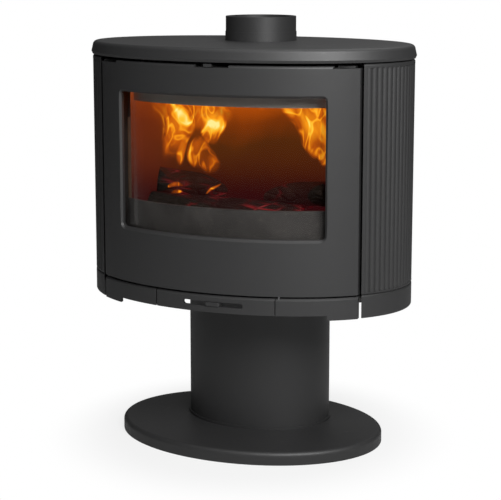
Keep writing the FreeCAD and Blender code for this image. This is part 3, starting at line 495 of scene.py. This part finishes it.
def charred_bark(name, colour, strength, along):
    """Charred wood: blocky cracks along the grain, ash on the ridges, glow in the cracks."""
    finish = Finish(name)
    grain_place = finish.stretched((1.0, 1.0, 1.0), turn=(0, 0, along))
    across = finish.add("ShaderNodeMapping", None,
                        {"Vector": grain_place, "Scale": (0.35, 1.0, 1.0)}).outputs[0]
    crack = finish.cells(75.0, across, "DISTANCE_TO_EDGE")
    gap = 1.0 - crack.between(0.02, 0.16)
    fibre = finish.noise(240.0, 3.0, 0.6, 0.0, across)
    ash = finish.noise(22.0, 4.0, 0.6)
    base = finish.mix(fibre, shade(colour, 0.5), shade(colour, 1.8))
    base = finish.mix(ash.between(0.55, 0.75) * 0.35, base, BARK_ASH)
    hot = finish.noise(13.0, 2.0, 0.5).between(0.50, 0.70)
    low = 1.0 - finish.axis("Z").between(BED_TOP + 0.02, BED_TOP + 0.085)
    glow = (gap * hot * (0.35 + 0.9 * low)).clamped()
    return finish.surface({
        "Base Color": base,
        "Roughness": 0.95,
        "Specular IOR Level": 0.1,
        "Emission Color": finish.ramp(glow, CRACK_STOPS),
        "Emission Strength": strength,
        "Normal": finish.bump(crack.between(0.0, 0.2) + 0.35 * fibre, 0.003, 0.8),
    })


def ember_material(name, strength):
    """Broken glowing charcoal under a skin of ash."""
    finish = Finish(name)
    lumps = finish.cells(48.0, None, "DISTANCE_TO_EDGE")
    gap = 1.0 - lumps.between(0.03, 0.22)
    heat = finish.noise(10.0, 3.0, 0.55).between(0.44, 0.66)
    glow = (gap * 0.75 + 0.35) * heat
    ash = finish.noise(60.0, 4.0, 0.6)
    base = finish.mix(ash, CHARCOAL, EMBER_ASH)
    return finish.surface({
        "Base Color": base,
        "Roughness": 0.95,
        "Specular IOR Level": 0.1,
        "Emission Color": finish.ramp(glow, EMBER_STOPS),
        "Emission Strength": strength,
        "Normal": finish.bump(lumps.between(0.0, 0.25) + 0.3 * ash, 0.004, 0.9),
    })


def flame_material(name, strength, tongues, seed):
    """Light-giving gas: soft bodies of flame crossed by thin bright folds, clear elsewhere."""
    finish = Finish(name)
    drift = finish.add("ShaderNodeTexNoise", None,
                       {"Vector": finish.stretched((1.0, 1.0, 0.7), (seed, 0, seed)),
                        "Scale": 7.0, "Detail": 2.0}).outputs["Color"]
    centred = finish.add("ShaderNodeVectorMath", {"operation": "SUBTRACT"},
                         {0: drift, 1: (0.5, 0.5, 0.5)})
    swirl = finish.add("ShaderNodeVectorMath", {"operation": "SCALE"},
                       {0: centred.outputs[0], "Scale": 0.17})
    place = finish.add("ShaderNodeVectorMath", {"operation": "ADD"},
                       {0: finish.place, 1: swirl.outputs[0]}).outputs[0]
    x = finish.axis("X", place)
    z = finish.axis("Z", place)
    body = None
    for middle_x, middle_z, reach_x, reach_z, lean, warmth in tongues:
        across = (x - middle_x - (z - middle_z) * lean) / reach_x
        up = (z - middle_z) / reach_z
        blob = (1.0 - (across * across + up * up)).clamped() * warmth
        body = blob if body is None else body.larger(blob)
    stretch = finish.add("ShaderNodeMapping", None, {
        "Vector": place, "Scale": (1.0, 1.0, 0.55), "Location": (seed, seed, 0)}).outputs[0]
    folds = (1.0 - (finish.noise(12.0, 1.0, 0.4, 0.7, stretch) - 0.5).size() * 20.0).clamped()
    wisps = (1.0 - (finish.noise(24.0, 1.5, 0.5, 1.0, stretch) - 0.5).size() * 15.0).clamped()
    fill = finish.noise(11.0, 3.0, 0.55, 0.4, stretch).between(0.38, 0.66)
    edge = body.between(0.03, 0.42)
    core = body * body * body
    heat = (0.24 + edge * (0.20 * fill + 0.34 * folds + 0.22 * wisps) + core * 0.32).clamped()
    sheet = (edge * (0.34 + 0.42 * fill + 0.55 * folds + 0.40 * wisps) + core * 0.40).clamped()
    return finish.gas(finish.ramp(heat, FLAME_STOPS), strength, sheet * 0.9)


def firelight_haze_material(name, strength, density):
    """Glowing haze in the firebox, partly hot gas and partly painted firelight on the boards behind:
    orange at the top, brown below, dark red at the bed.
    """
    finish = Finish(name)
    cloud = finish.noise(7.0, 3.0, 0.55, 0.8)
    x = finish.axis("X")
    z = finish.axis("Z") + (cloud - 0.5) * 0.10 - x * 0.06
    colour = finish.ramp(z.between(0.45, 0.80, False), FIRELIGHT_STOPS)
    # Painted firelight: redder towards the left wall.
    red = (1.0 - x.between(-0.215, -0.09)) * 0.7
    colour = finish.mix(red, colour, FIRELIGHT_LEFT_WALL)
    # Painted firelight fades to dark red low down at the bed.
    low = 1.0 - finish.axis("Z").between(0.51, 0.63)
    colour = finish.mix(low * 0.9, colour, FIRELIGHT_AT_BED)
    return finish.gas(colour, strength * 0.9, density + 0.22 * cloud)


def studio_floor(name):
    """Pale plain floor that fades into the bright backdrop away from the stove."""
    finish = Finish(name)
    x = finish.axis("X")
    y = finish.axis("Y")
    reach = (x * x + y * y) ** 0.5
    matt = finish.add("ShaderNodeBsdfDiffuse", None, {"Color": (0.52, 0.52, 0.52, 1)}).outputs[0]
    glow = finish.add("ShaderNodeEmission", None,
                      {"Color": (1, 1, 1, 1), "Strength": 1.0}).outputs[0]
    seen = Amount(finish, finish.add("ShaderNodeLightPath").outputs["Is Camera Ray"])
    finish.end_in_mix((0.80 + 0.20 * reach.between(0.26, 0.46)) * seen, matt, glow)
    return finish.material


# ---- meshes -----------------------------------------------------------------
def placed(name, data):
    """A new object in the scene, at the origin."""
    item = bpy.data.objects.new(name, data)
    bpy.context.scene.collection.objects.link(item)
    return item


def finished(name, mesh, material, body, smooth=True):
    """Puts a mesh in the scene with its material and lets it ride on a body."""
    for face in mesh.polygons:
        face.use_smooth = smooth
    mesh.materials.clear()
    mesh.materials.append(material)
    piece = placed(name, mesh)
    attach(piece, body)
    return piece


def mesh_of(builder, name):
    """Turns a bmesh into mesh data, its faces pointing outwards."""
    bmesh.ops.recalc_face_normals(builder, faces=builder.faces[:])
    mesh = bpy.data.meshes.new(name)
    builder.to_mesh(mesh)
    builder.free()
    return mesh


def casing_point(x, depth):
    """Plan point on the front of the casing, inside its oval by the depth."""
    share = x / (CASING_HALF_WIDTH - depth)
    return Vector((x, -(CASING_HALF_DEPTH - depth) * math.sqrt(1 - share * share), 0))


def casing_normal(x, depth):
    """Outward level direction there."""
    spot = casing_point(x, depth)
    return Vector((spot.x / (CASING_HALF_WIDTH - depth) ** 2,
                   spot.y / (CASING_HALF_DEPTH - depth) ** 2, 0)).normalized()


def seal_route(half_width, low, high, depth, step):
    """Closed route behind the door: points with their outward directions in the ring's face."""
    wide = max(2, round(2 * half_width / step))
    tall = max(2, round((high - low) / step))
    route = []
    for number in range(wide):
        x = -half_width + 2 * half_width * number / wide
        route.append((x, low, Vector((0, 0, -1))))
    for number in range(tall):
        route.append((half_width, low + (high - low) * number / tall, None))
    for number in range(wide):
        x = half_width - 2 * half_width * number / wide
        route.append((x, high, Vector((0, 0, 1))))
    for number in range(tall):
        route.append((-half_width, high - (high - low) * number / tall, None))
    spots = []
    for x, z, side in route:
        normal = casing_normal(x, depth)
        if side is None:
            along = Vector((-normal.y, normal.x, 0))
            side = along if x * along.x > 0 else -along
        spots.append((casing_point(x, depth) + Vector((0, 0, z)), side, normal))
    return spots


def twisted_seal(name, route, lateral, rise, radius, strands, pitch):
    """Strands that wind round a closed route, as one mesh."""
    curve = bpy.data.curves.new(name, "CURVE")
    curve.dimensions = "3D"
    curve.bevel_depth = radius
    curve.bevel_resolution = 1
    count = len(route)
    length = sum((route[k][0] - route[k - 1][0]).length for k in range(count))
    turns = round(length / pitch)
    for strand in range(strands):
        line = curve.splines.new("POLY")
        line.points.add(count - 1)
        line.use_cyclic_u = True
        for k, (spot, side, normal) in enumerate(route):
            angle = 2 * math.pi * (turns * k / count + strand / strands)
            place = spot + side * (lateral * math.cos(angle)) + normal * (rise * math.sin(angle))
            line.points[k].co = (place.x, place.y, place.z, 1)
    holder = placed(name, curve)
    bpy.context.view_layer.update()
    mesh = bpy.data.meshes.new_from_object(holder)
    bpy.data.objects.remove(holder)
    bpy.data.curves.remove(curve)
    return mesh


def log_mesh(name, radius, length, middle, turn, tilt, split, seed):
    """A split log: a rough bark round, cut flat on one side, laid at an angle."""
    builder = bmesh.new()
    bmesh.ops.create_cone(builder, cap_ends=True, cap_tris=False, segments=LOG_SIDES, radius1=radius,
                          radius2=radius * 0.93, depth=length)
    long_edges = [edge for edge in builder.edges
                  if abs(edge.verts[0].co.z - edge.verts[1].co.z) > length * 0.5]
    bmesh.ops.subdivide_edges(builder, edges=long_edges, cuts=LOG_CUTS)
    for vert in builder.verts:
        spot = vert.co.copy()
        bark_place = Vector((spot.x * 34 + seed, spot.y * 34, spot.z * 7))
        bark = noise.ridged_multi_fractal(bark_place, 1.0, 2.0, 4, 1.0, 2.0)
        swell = noise.noise(Vector((spot.x * 9, spot.y * 9, spot.z * 5 + seed)))
        out = Vector((spot.x, spot.y, 0))
        vert.co = spot + out * (BARK_DEPTH * (bark - 1.0) + LOG_SWELL * swell)
    cut = bmesh.ops.bisect_plane(
        builder, geom=builder.verts[:] + builder.edges[:] + builder.faces[:],
        plane_co=(0, radius * split, 0), plane_no=(0, 1, 0), clear_outer=True)
    rim = [item for item in cut["geom_cut"] if isinstance(item, bmesh.types.BMEdge)]
    filled = bmesh.ops.contextual_create(builder, geom=rim)["faces"]
    bmesh.ops.triangulate(builder, faces=filled)
    ends = [face for face in builder.faces if abs(face.normal.z) > 0.9]
    bmesh.ops.inset_region(builder, faces=ends, thickness=radius * 0.12, depth=-0.002)
    builder.transform(Matrix.Translation(middle) @ Matrix.Rotation(turn, 4, "Z")
                      @ Matrix.Rotation(tilt, 4, "Y") @ Matrix.Rotation(math.pi / 2, 4, "Y"))
    return mesh_of(builder, name)


def ember_bed_mesh(name):
    """Low heap of broken charcoal that fills the fire bed behind the log guard."""
    builder = bmesh.new()
    bmesh.ops.create_grid(builder, x_segments=110, y_segments=70, size=1.0)
    half = BOARD_INNER_X - EMBER_SIDE_GAP
    back = BOARD_BACK_Y - EMBER_SIDE_GAP
    for vert in builder.verts:
        x = vert.co.x * half
        front = casing_point(x, GUARD_BACK_DEPTH + EMBER_GUARD_GAP).y
        y = front + (back - front) * (vert.co.y + 1) / 2
        spot = Vector((x * 26, y * 26, 0))
        lumps = 1.0 - min(1.0, noise.voronoi(spot)[0][0])
        heap = 0.5 + 0.5 * noise.noise(Vector((x * 8, y * 8, 3.0)))
        top = BED_TOP + EMBER_LEAST + EMBER_HEAP * heap + EMBER_LUMP * lumps * lumps
        vert.co = Vector((x, y, top))
    edge = [item for item in builder.edges if item.is_boundary]
    skirt = bmesh.ops.extrude_edge_only(builder, edges=edge)["geom"]
    for item in skirt:
        if isinstance(item, bmesh.types.BMVert):
            item.co.z = BED_TOP + EMBER_FOOT
    floor_edges = [item for item in builder.edges if item.is_boundary]
    bmesh.ops.contextual_create(builder, geom=floor_edges)
    return mesh_of(builder, name)


def charcoal_mesh(name, spots, seed):
    """Loose lumps of charcoal scattered on the heap."""
    builder = bmesh.new()
    for number, (x, y, z, radius) in enumerate(spots):
        made = bmesh.ops.create_icosphere(builder, subdivisions=3, radius=radius)["verts"]
        for vert in made:
            rough = noise.noise(vert.co * 60 + Vector((number * 3.7, seed, 0)))
            chop = noise.cell(vert.co * 45 + Vector((number * 1.3, 0, seed)))
            vert.co *= 1.0 + 0.30 * rough + 0.10 * chop
            vert.co.z *= 0.75
        bmesh.ops.translate(builder, verts=made, vec=(x, y, z))
    return mesh_of(builder, name)


def flame_mesh(name, middle_y, half_width, low, bow, fold=0.0):
    """A thin sheet of flame that bows to the front and wavers; its ends may fold forward."""
    flat = 0.9 if fold else 1.0
    builder = bmesh.new()
    bmesh.ops.create_grid(builder, x_segments=64, y_segments=30, size=1.0)
    for vert in builder.verts:
        share = max(-1.0, min(1.0, vert.co.x / flat))
        past = max(0.0, abs(vert.co.x) - flat) / (1.0 - flat) if fold else 0.0
        x = share * half_width
        z = low + (SHEET_TOP - low) * (vert.co.y + 1) / 2
        waver = noise.noise(Vector((x * 9, middle_y * 40, z * 11)))
        y = middle_y - bow * (1 - share ** 2) - fold * past
        vert.co = Vector((x, y + 0.010 * waver * (1 - share ** 2), z))
    return mesh_of(builder, name)


# ---- the fire's layout ------------------------------------------------------
# Tongues of flame: middle x, middle z, half width, half height, lean and warmth.
FRONT_TONGUES = [
    (-0.118, 0.705, 0.046, 0.115, 0.10, 0.62),
    (-0.036, 0.690, 0.036, 0.034, 0.20, 1.00),
    (-0.050, 0.722, 0.090, 0.050, 0.10, 0.68),
    (-0.050, 0.632, 0.038, 0.042, -0.25, 0.62),
    (-0.098, 0.632, 0.013, 0.046, 0.20, 0.60),
    (0.186, 0.695, 0.064, 0.080, -0.10, 1.00),
    (0.201, 0.640, 0.022, 0.050, 0.10, 0.75),
    (0.088, 0.735, 0.044, 0.056, 0.30, 0.50),
    (0.130, 0.752, 0.110, 0.022, 0.00, 0.42),
    (-0.150, 0.755, 0.080, 0.016, 0.00, 0.45),
    (-0.008, 0.556, 0.005, 0.020, 0.55, 0.90),
    (-0.112, 0.545, 0.034, 0.006, 0.00, 0.70),
    (-0.104, 0.529, 0.030, 0.005, 0.00, 0.60),
]
MIDDLE_TONGUES = [
    (-0.140, 0.700, 0.048, 0.085, 0.10, 0.48),
    (-0.060, 0.712, 0.078, 0.050, 0.20, 0.60),
    (0.050, 0.735, 0.060, 0.028, 0.25, 0.45),
    (0.178, 0.695, 0.048, 0.070, -0.15, 0.85),
]
# Sheets of flame: name, y, half width, foot, bow, tongues, seed and share of the strength.
FLAME_SHEETS = [
    ("flames_front", -0.088, 0.212, 0.500, 0.050, FRONT_TONGUES, 1.7, 1.0),
    ("flames_middle", -0.070, 0.208, 0.490, 0.045, MIDDLE_TONGUES, 5.3, 0.9),
]
# Sheets of hot haze that also paint the firelight on the boards: name, y, half width, foot, bow, fold
# at the ends and density.
FIRELIGHT_HAZE_SHEETS = [
    ("fire_haze", -0.052, 0.2194, 0.462, 0.022, 0.074, 0.86),
    ("fire_veil", -0.095, 0.2060, 0.470, 0.022, 0.0, 0.22),
]
# Logs: name, radius and height (both in radii of the thickest log), length, middle x and y,
# turn, tilt, how far out the flat side lies (in radii of its log), and seed.
LOGS = [
    ("log_front", 0.86, 0.75, 0.330, -0.020, -0.085, 0.06, 0.02, 0.55, 3.0),
    ("log_back", 1.00, 0.85, 0.360, 0.015, 0.015, -0.10, -0.02, 0.60, 11.0),
    ("log_top_left", 0.66, 2.00, 0.215, -0.070, -0.060, 0.30, 0.12, 0.75, 19.0),
    ("log_top_right", 0.66, 1.70, 0.230, 0.095, -0.055, -0.30, -0.14, 0.75, 27.0),
]
LOG_BED = BED_TOP + 0.018

# ---- the studio's lamps -----------------------------------------------------
# Name, power in watts, size, azimuth and elevation in degrees, and distance.
LAMPS = [
    ("key_softbox", 100.0, 1.4, 40, 34, 2.7),
    ("top_softbox", 16.0, 2.0, 0, 80, 2.6),
    ("back_softbox", 1.8, 2.4, 195, 14, 3.0),
    ("rear_fill", 16.0, 1.6, 160, 62, 2.8),
]
LAMP_TARGET = Vector((0, 0, 0.5))
WORLD_LIGHT = 0.06
FLOOR_REACH = 14.0


# ---- operators --------------------------------------------------------------
def paint_nodes(names, material):
    """Gives carried-over pieces a material."""
    for name in names:
        node = frame["nodes"][name]
        if not node.material_slots:
            node.data.materials.append(material)
        for slot in node.material_slots:
            slot.material = material


def nodes_in_slot(slot):
    """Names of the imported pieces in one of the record's material slots."""
    return [part["node"] for part in frame["record"]["subparts"] if part["material_slot"] == slot]


class STOVE_OT_castings(bpy.types.Operator):
    """Paint the outer castings: lid, door, panels, skirts, apron, base and collar"""

    bl_idname = "stove.castings"
    bl_label = "Outer castings"

    def execute(self, context):
        paint = stove_paint("cast_paint", settings("stove_finish").paint, 1.0, 0.47)
        paint_nodes(nodes_in_slot("cast_black"), paint)
        return {"FINISHED"}


class STOVE_OT_steelwork(bpy.types.Operator):
    """Paint the pedestal tube, back panel, firebox shell and brackets"""

    bl_idname = "stove.steelwork"
    bl_label = "Painted steelwork"

    def execute(self, context):
        paint = stove_paint("steel_paint", settings("stove_finish").steel_paint, 0.45, 0.47)
        paint_nodes(nodes_in_slot("steel_black"), paint)
        return {"FINISHED"}


class STOVE_OT_firebox(bpy.types.Operator):
    """Stain the inner castings and the heat-proof boards"""

    bl_idname = "stove.firebox"
    bl_label = "Firebox"

    def execute(self, context):
        finish = settings("stove_finish")
        paint_nodes(nodes_in_slot("cast_inner"), sooted_iron("sooted_iron", finish.soot))
        paint_nodes(nodes_in_slot("fire_board"), fire_board("fire_board", finish.board))
        return {"FINISHED"}


class STOVE_OT_bright_metal(bpy.types.Operator):
    """Finish the ash pan, air controls, latch and fasteners"""

    bl_idname = "stove.bright_metal"
    bl_label = "Plated steel"

    def execute(self, context):
        finish = settings("stove_finish")
        paint_nodes(nodes_in_slot("sheet_steel"), plated_steel("sheet_steel", finish.sheet, 0.34))
        paint_nodes(nodes_in_slot("fastener"), plated_steel("fastener_steel", finish.fastener, 0.28))
        # Painted light: the deflector's grey is made lighter to stand in for light on a band that
        # lies in the door's shadow.
        paint_nodes(["air_deflector"], stove_paint("deflector_painted_light", finish.deflector, 0.5, 0.6))
        return {"FINISHED"}


class STOVE_OT_glass(bpy.types.Operator):
    """Give the door its clear ceramic glass"""

    bl_idname = "stove.glass"
    bl_label = "Door glass"

    def execute(self, context):
        paint_nodes(["door_glass"], stove_glass("stove_glass"))
        return {"FINISHED"}


class STOVE_OT_seals(bpy.types.Operator):
    """Make the twisted rope round the door and the woven tape under the glass"""

    bl_idname = "stove.seals"
    bl_label = "Rope seals"

    def execute(self, context):
        material = glass_rope("glass_rope", settings("stove_finish").rope)
        low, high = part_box("door_seal")
        inset = DOOR_ROPE_WIDTH / 2
        route = seal_route(high.x - inset, low.z + inset, high.z - inset, DOOR_ROPE_DEPTH, SEAL_STEP)
        mesh = twisted_seal("door_rope", route, 0.0029, 0.0012, 0.0016, 4, 0.018)
        rope = finished("door_rope", mesh, material, "door")
        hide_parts("door_seal")
        low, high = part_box("glass_seal")
        inset = GLASS_TAPE_WIDTH / 2
        route = seal_route(high.x - inset, low.z + inset, high.z - inset, GLASS_TAPE_DEPTH, SEAL_STEP)
        mesh = twisted_seal("glass_tape", route, 0.0030, 0.00015, 0.00075, 6, 0.014)
        tape = finished("glass_tape", mesh, material, "door")
        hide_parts("glass_seal")
        return {"FINISHED"}


class STOVE_OT_logs(bpy.types.Operator):
    """Lay the burning logs on the fire bed"""

    bl_idname = "stove.logs"
    bl_label = "Burning logs"

    def execute(self, context):
        finish = settings("stove_finish")
        fire = settings("stove_fire")
        radius = fire.log_radius
        for name, thick, height, length, x, y, turn, tilt, split, seed in LOGS:
            middle = (x, y, LOG_BED + radius * height)
            mesh = log_mesh(name, radius * thick, length, middle, turn, tilt, split, seed)
            material = charred_bark(name + "_char", finish.bark, fire.ember_strength, -turn)
            finished(name, mesh, material, "root")
        return {"FINISHED"}


class STOVE_OT_embers(bpy.types.Operator):
    """Heap the glowing charcoal on the fire bed"""

    bl_idname = "stove.embers"
    bl_label = "Embers"

    def execute(self, context):
        material = ember_material("embers", settings("stove_fire").ember_strength)
        finished("ember_bed", ember_bed_mesh("ember_bed"), material, "root")
        spots = []
        for number in range(LUMP_COUNT):
            angle = number * GOLDEN_ANGLE
            reach = math.sqrt((number + 0.5) / LUMP_COUNT)
            x = 0.19 * reach * math.cos(angle)
            y = -0.055 + 0.085 * reach * math.sin(angle)
            spots.append((x, y, BED_TOP + LUMP_HEIGHT, 0.009 + 0.008 * ((number * 7) % 5) / 4))
        lumps = charcoal_mesh("charcoal_lumps", spots, 5.0)
        finished("charcoal_lumps", lumps, material, "root", False)
        return {"FINISHED"}


class STOVE_OT_flames(bpy.types.Operator):
    """Raise two thin sheets of flame over the logs and a glowing haze behind them that paints the
    firelight on the boards
    """

    bl_idname = "stove.flames"
    bl_label = "Flames"

    def execute(self, context):
        strength = settings("stove_fire").flame_strength
        for name, y, half, low, bow, tongues, seed, share in FLAME_SHEETS:
            material = flame_material(name + "_gas", strength * share, tongues, seed)
            piece = finished(name, flame_mesh(name, y, half, low, bow), material, "root")
            piece.visible_shadow = False
        for name, y, half, low, bow, fold, density in FIRELIGHT_HAZE_SHEETS:
            material = firelight_haze_material(name + "_gas", strength, density)
            piece = finished(name, flame_mesh(name, y, half, low, bow, fold), material, "root")
            piece.visible_shadow = False
        return {"FINISHED"}


def area_light(name, power, size, azimuth, elevation, distance):
    """A soft square lamp that looks at the middle of the stove."""
    lamp = bpy.data.lights.new(name, "AREA")
    lamp.shape = "SQUARE"
    lamp.size = size
    lamp.energy = power
    holder = placed(name, lamp)
    level = math.cos(elevation)
    away = Vector((math.sin(azimuth) * level, -math.cos(azimuth) * level, math.sin(elevation)))
    holder.location = LAMP_TARGET + away * distance
    holder.rotation_mode = "QUATERNION"
    holder.rotation_quaternion = (-away).to_track_quat("-Z", "Y")
    holder.visible_camera = False


def studio_world():
    """Even white surroundings: bright behind the stove, softer as a light."""
    world = bpy.data.worlds.new("studio")
    world.use_nodes = True
    nodes = Nodes(world.node_tree)
    seen = nodes.add("ShaderNodeLightPath").outputs["Is Camera Ray"]
    lit = nodes.add("ShaderNodeBackground", None, {"Color": (1, 1, 1, 1), "Strength": WORLD_LIGHT})
    bright = nodes.add("ShaderNodeBackground", None, {"Color": (1, 1, 1, 1), "Strength": 1.0})
    nodes.end_in_mix(seen, lit.outputs[0], bright.outputs[0], "ShaderNodeOutputWorld")
    bpy.context.scene.world = world


class STOVE_OT_stage(bpy.types.Operator):
    """Set the floor, the soft studio lights and the camera"""

    bl_idname = "stove.stage"
    bl_label = "Studio"

    def execute(self, context):
        stage = settings("stove_stage")
        builder = bmesh.new()
        bmesh.ops.create_grid(builder, x_segments=1, y_segments=1, size=FLOOR_REACH)
        mesh = mesh_of(builder, "studio_floor")
        mesh.materials.append(studio_floor("studio_floor"))
        floor = placed("studio_floor", mesh)
        studio_world()
        for name, power, size, azimuth, elevation, distance in LAMPS:
            area_light(name, power, size, math.radians(azimuth), math.radians(elevation), distance)
        self.camera(context, stage)
        context.scene.view_settings.view_transform = "Standard"
        return {"FINISHED"}

    def camera(self, context, stage):
        """Places the camera by its distance, height, azimuth and pitch."""
        lens = bpy.data.cameras.new("camera")
        lens.sensor_width = SENSOR_WIDTH
        lens.lens = stage.focal_length
        lens.shift_y = stage.rise
        lens.clip_end = 100
        camera = placed("camera", lens)
        camera.location = (stage.distance * math.sin(stage.azimuth),
                           -stage.distance * math.cos(stage.azimuth), stage.height)
        camera.rotation_euler = (math.pi / 2 - stage.pitch, 0, stage.azimuth)
        context.scene.camera = camera


STEPS = [
    STOVE_OT_castings, STOVE_OT_steelwork, STOVE_OT_firebox, STOVE_OT_bright_metal, STOVE_OT_glass,
    STOVE_OT_seals, STOVE_OT_logs, STOVE_OT_embers, STOVE_OT_flames, STOVE_OT_stage,
]


class STOVE_PT_panel(bpy.types.Panel):
    """Lists the stove's settings and steps"""

    bl_idname = "STOVE_PT_panel"
    bl_label = "Wood stove"
    bl_space_type = "VIEW_3D"
    bl_region_type = "UI"
    bl_category = "Stove"

    def draw(self, context):
        for kind in ("stove_finish", "stove_fire", "stove_stage"):
            group = getattr(context.scene, kind)
            box = self.layout.box()
            for name in group.__annotations__:
                box.prop(group, name)
        for step in STEPS:
            self.layout.operator(step.bl_idname)


CLASSES = [FinishSettings, FireSettings, StageSettings, *STEPS, STOVE_PT_panel]


def register():
    """Registers the classes and the scene's settings."""
    for item in CLASSES:
        bpy.utils.register_class(item)
    bpy.types.Scene.stove_finish = bpy.props.PointerProperty(type=FinishSettings)
    bpy.types.Scene.stove_fire = bpy.props.PointerProperty(type=FireSettings)
    bpy.types.Scene.stove_stage = bpy.props.PointerProperty(type=StageSettings)


def unregister():
    """Takes them out again."""
    for name in ("stove_stage", "stove_fire", "stove_finish"):
        delattr(bpy.types.Scene, name)
    for item in reversed(CLASSES):
        bpy.utils.unregister_class(item)


def main():
    """Makes every piece in order."""
    register()
    for step in STEPS:
        group, name = step.bl_idname.split(".")
        getattr(getattr(bpy.ops, group), name)()


if __name__ == "__main__":
    main()
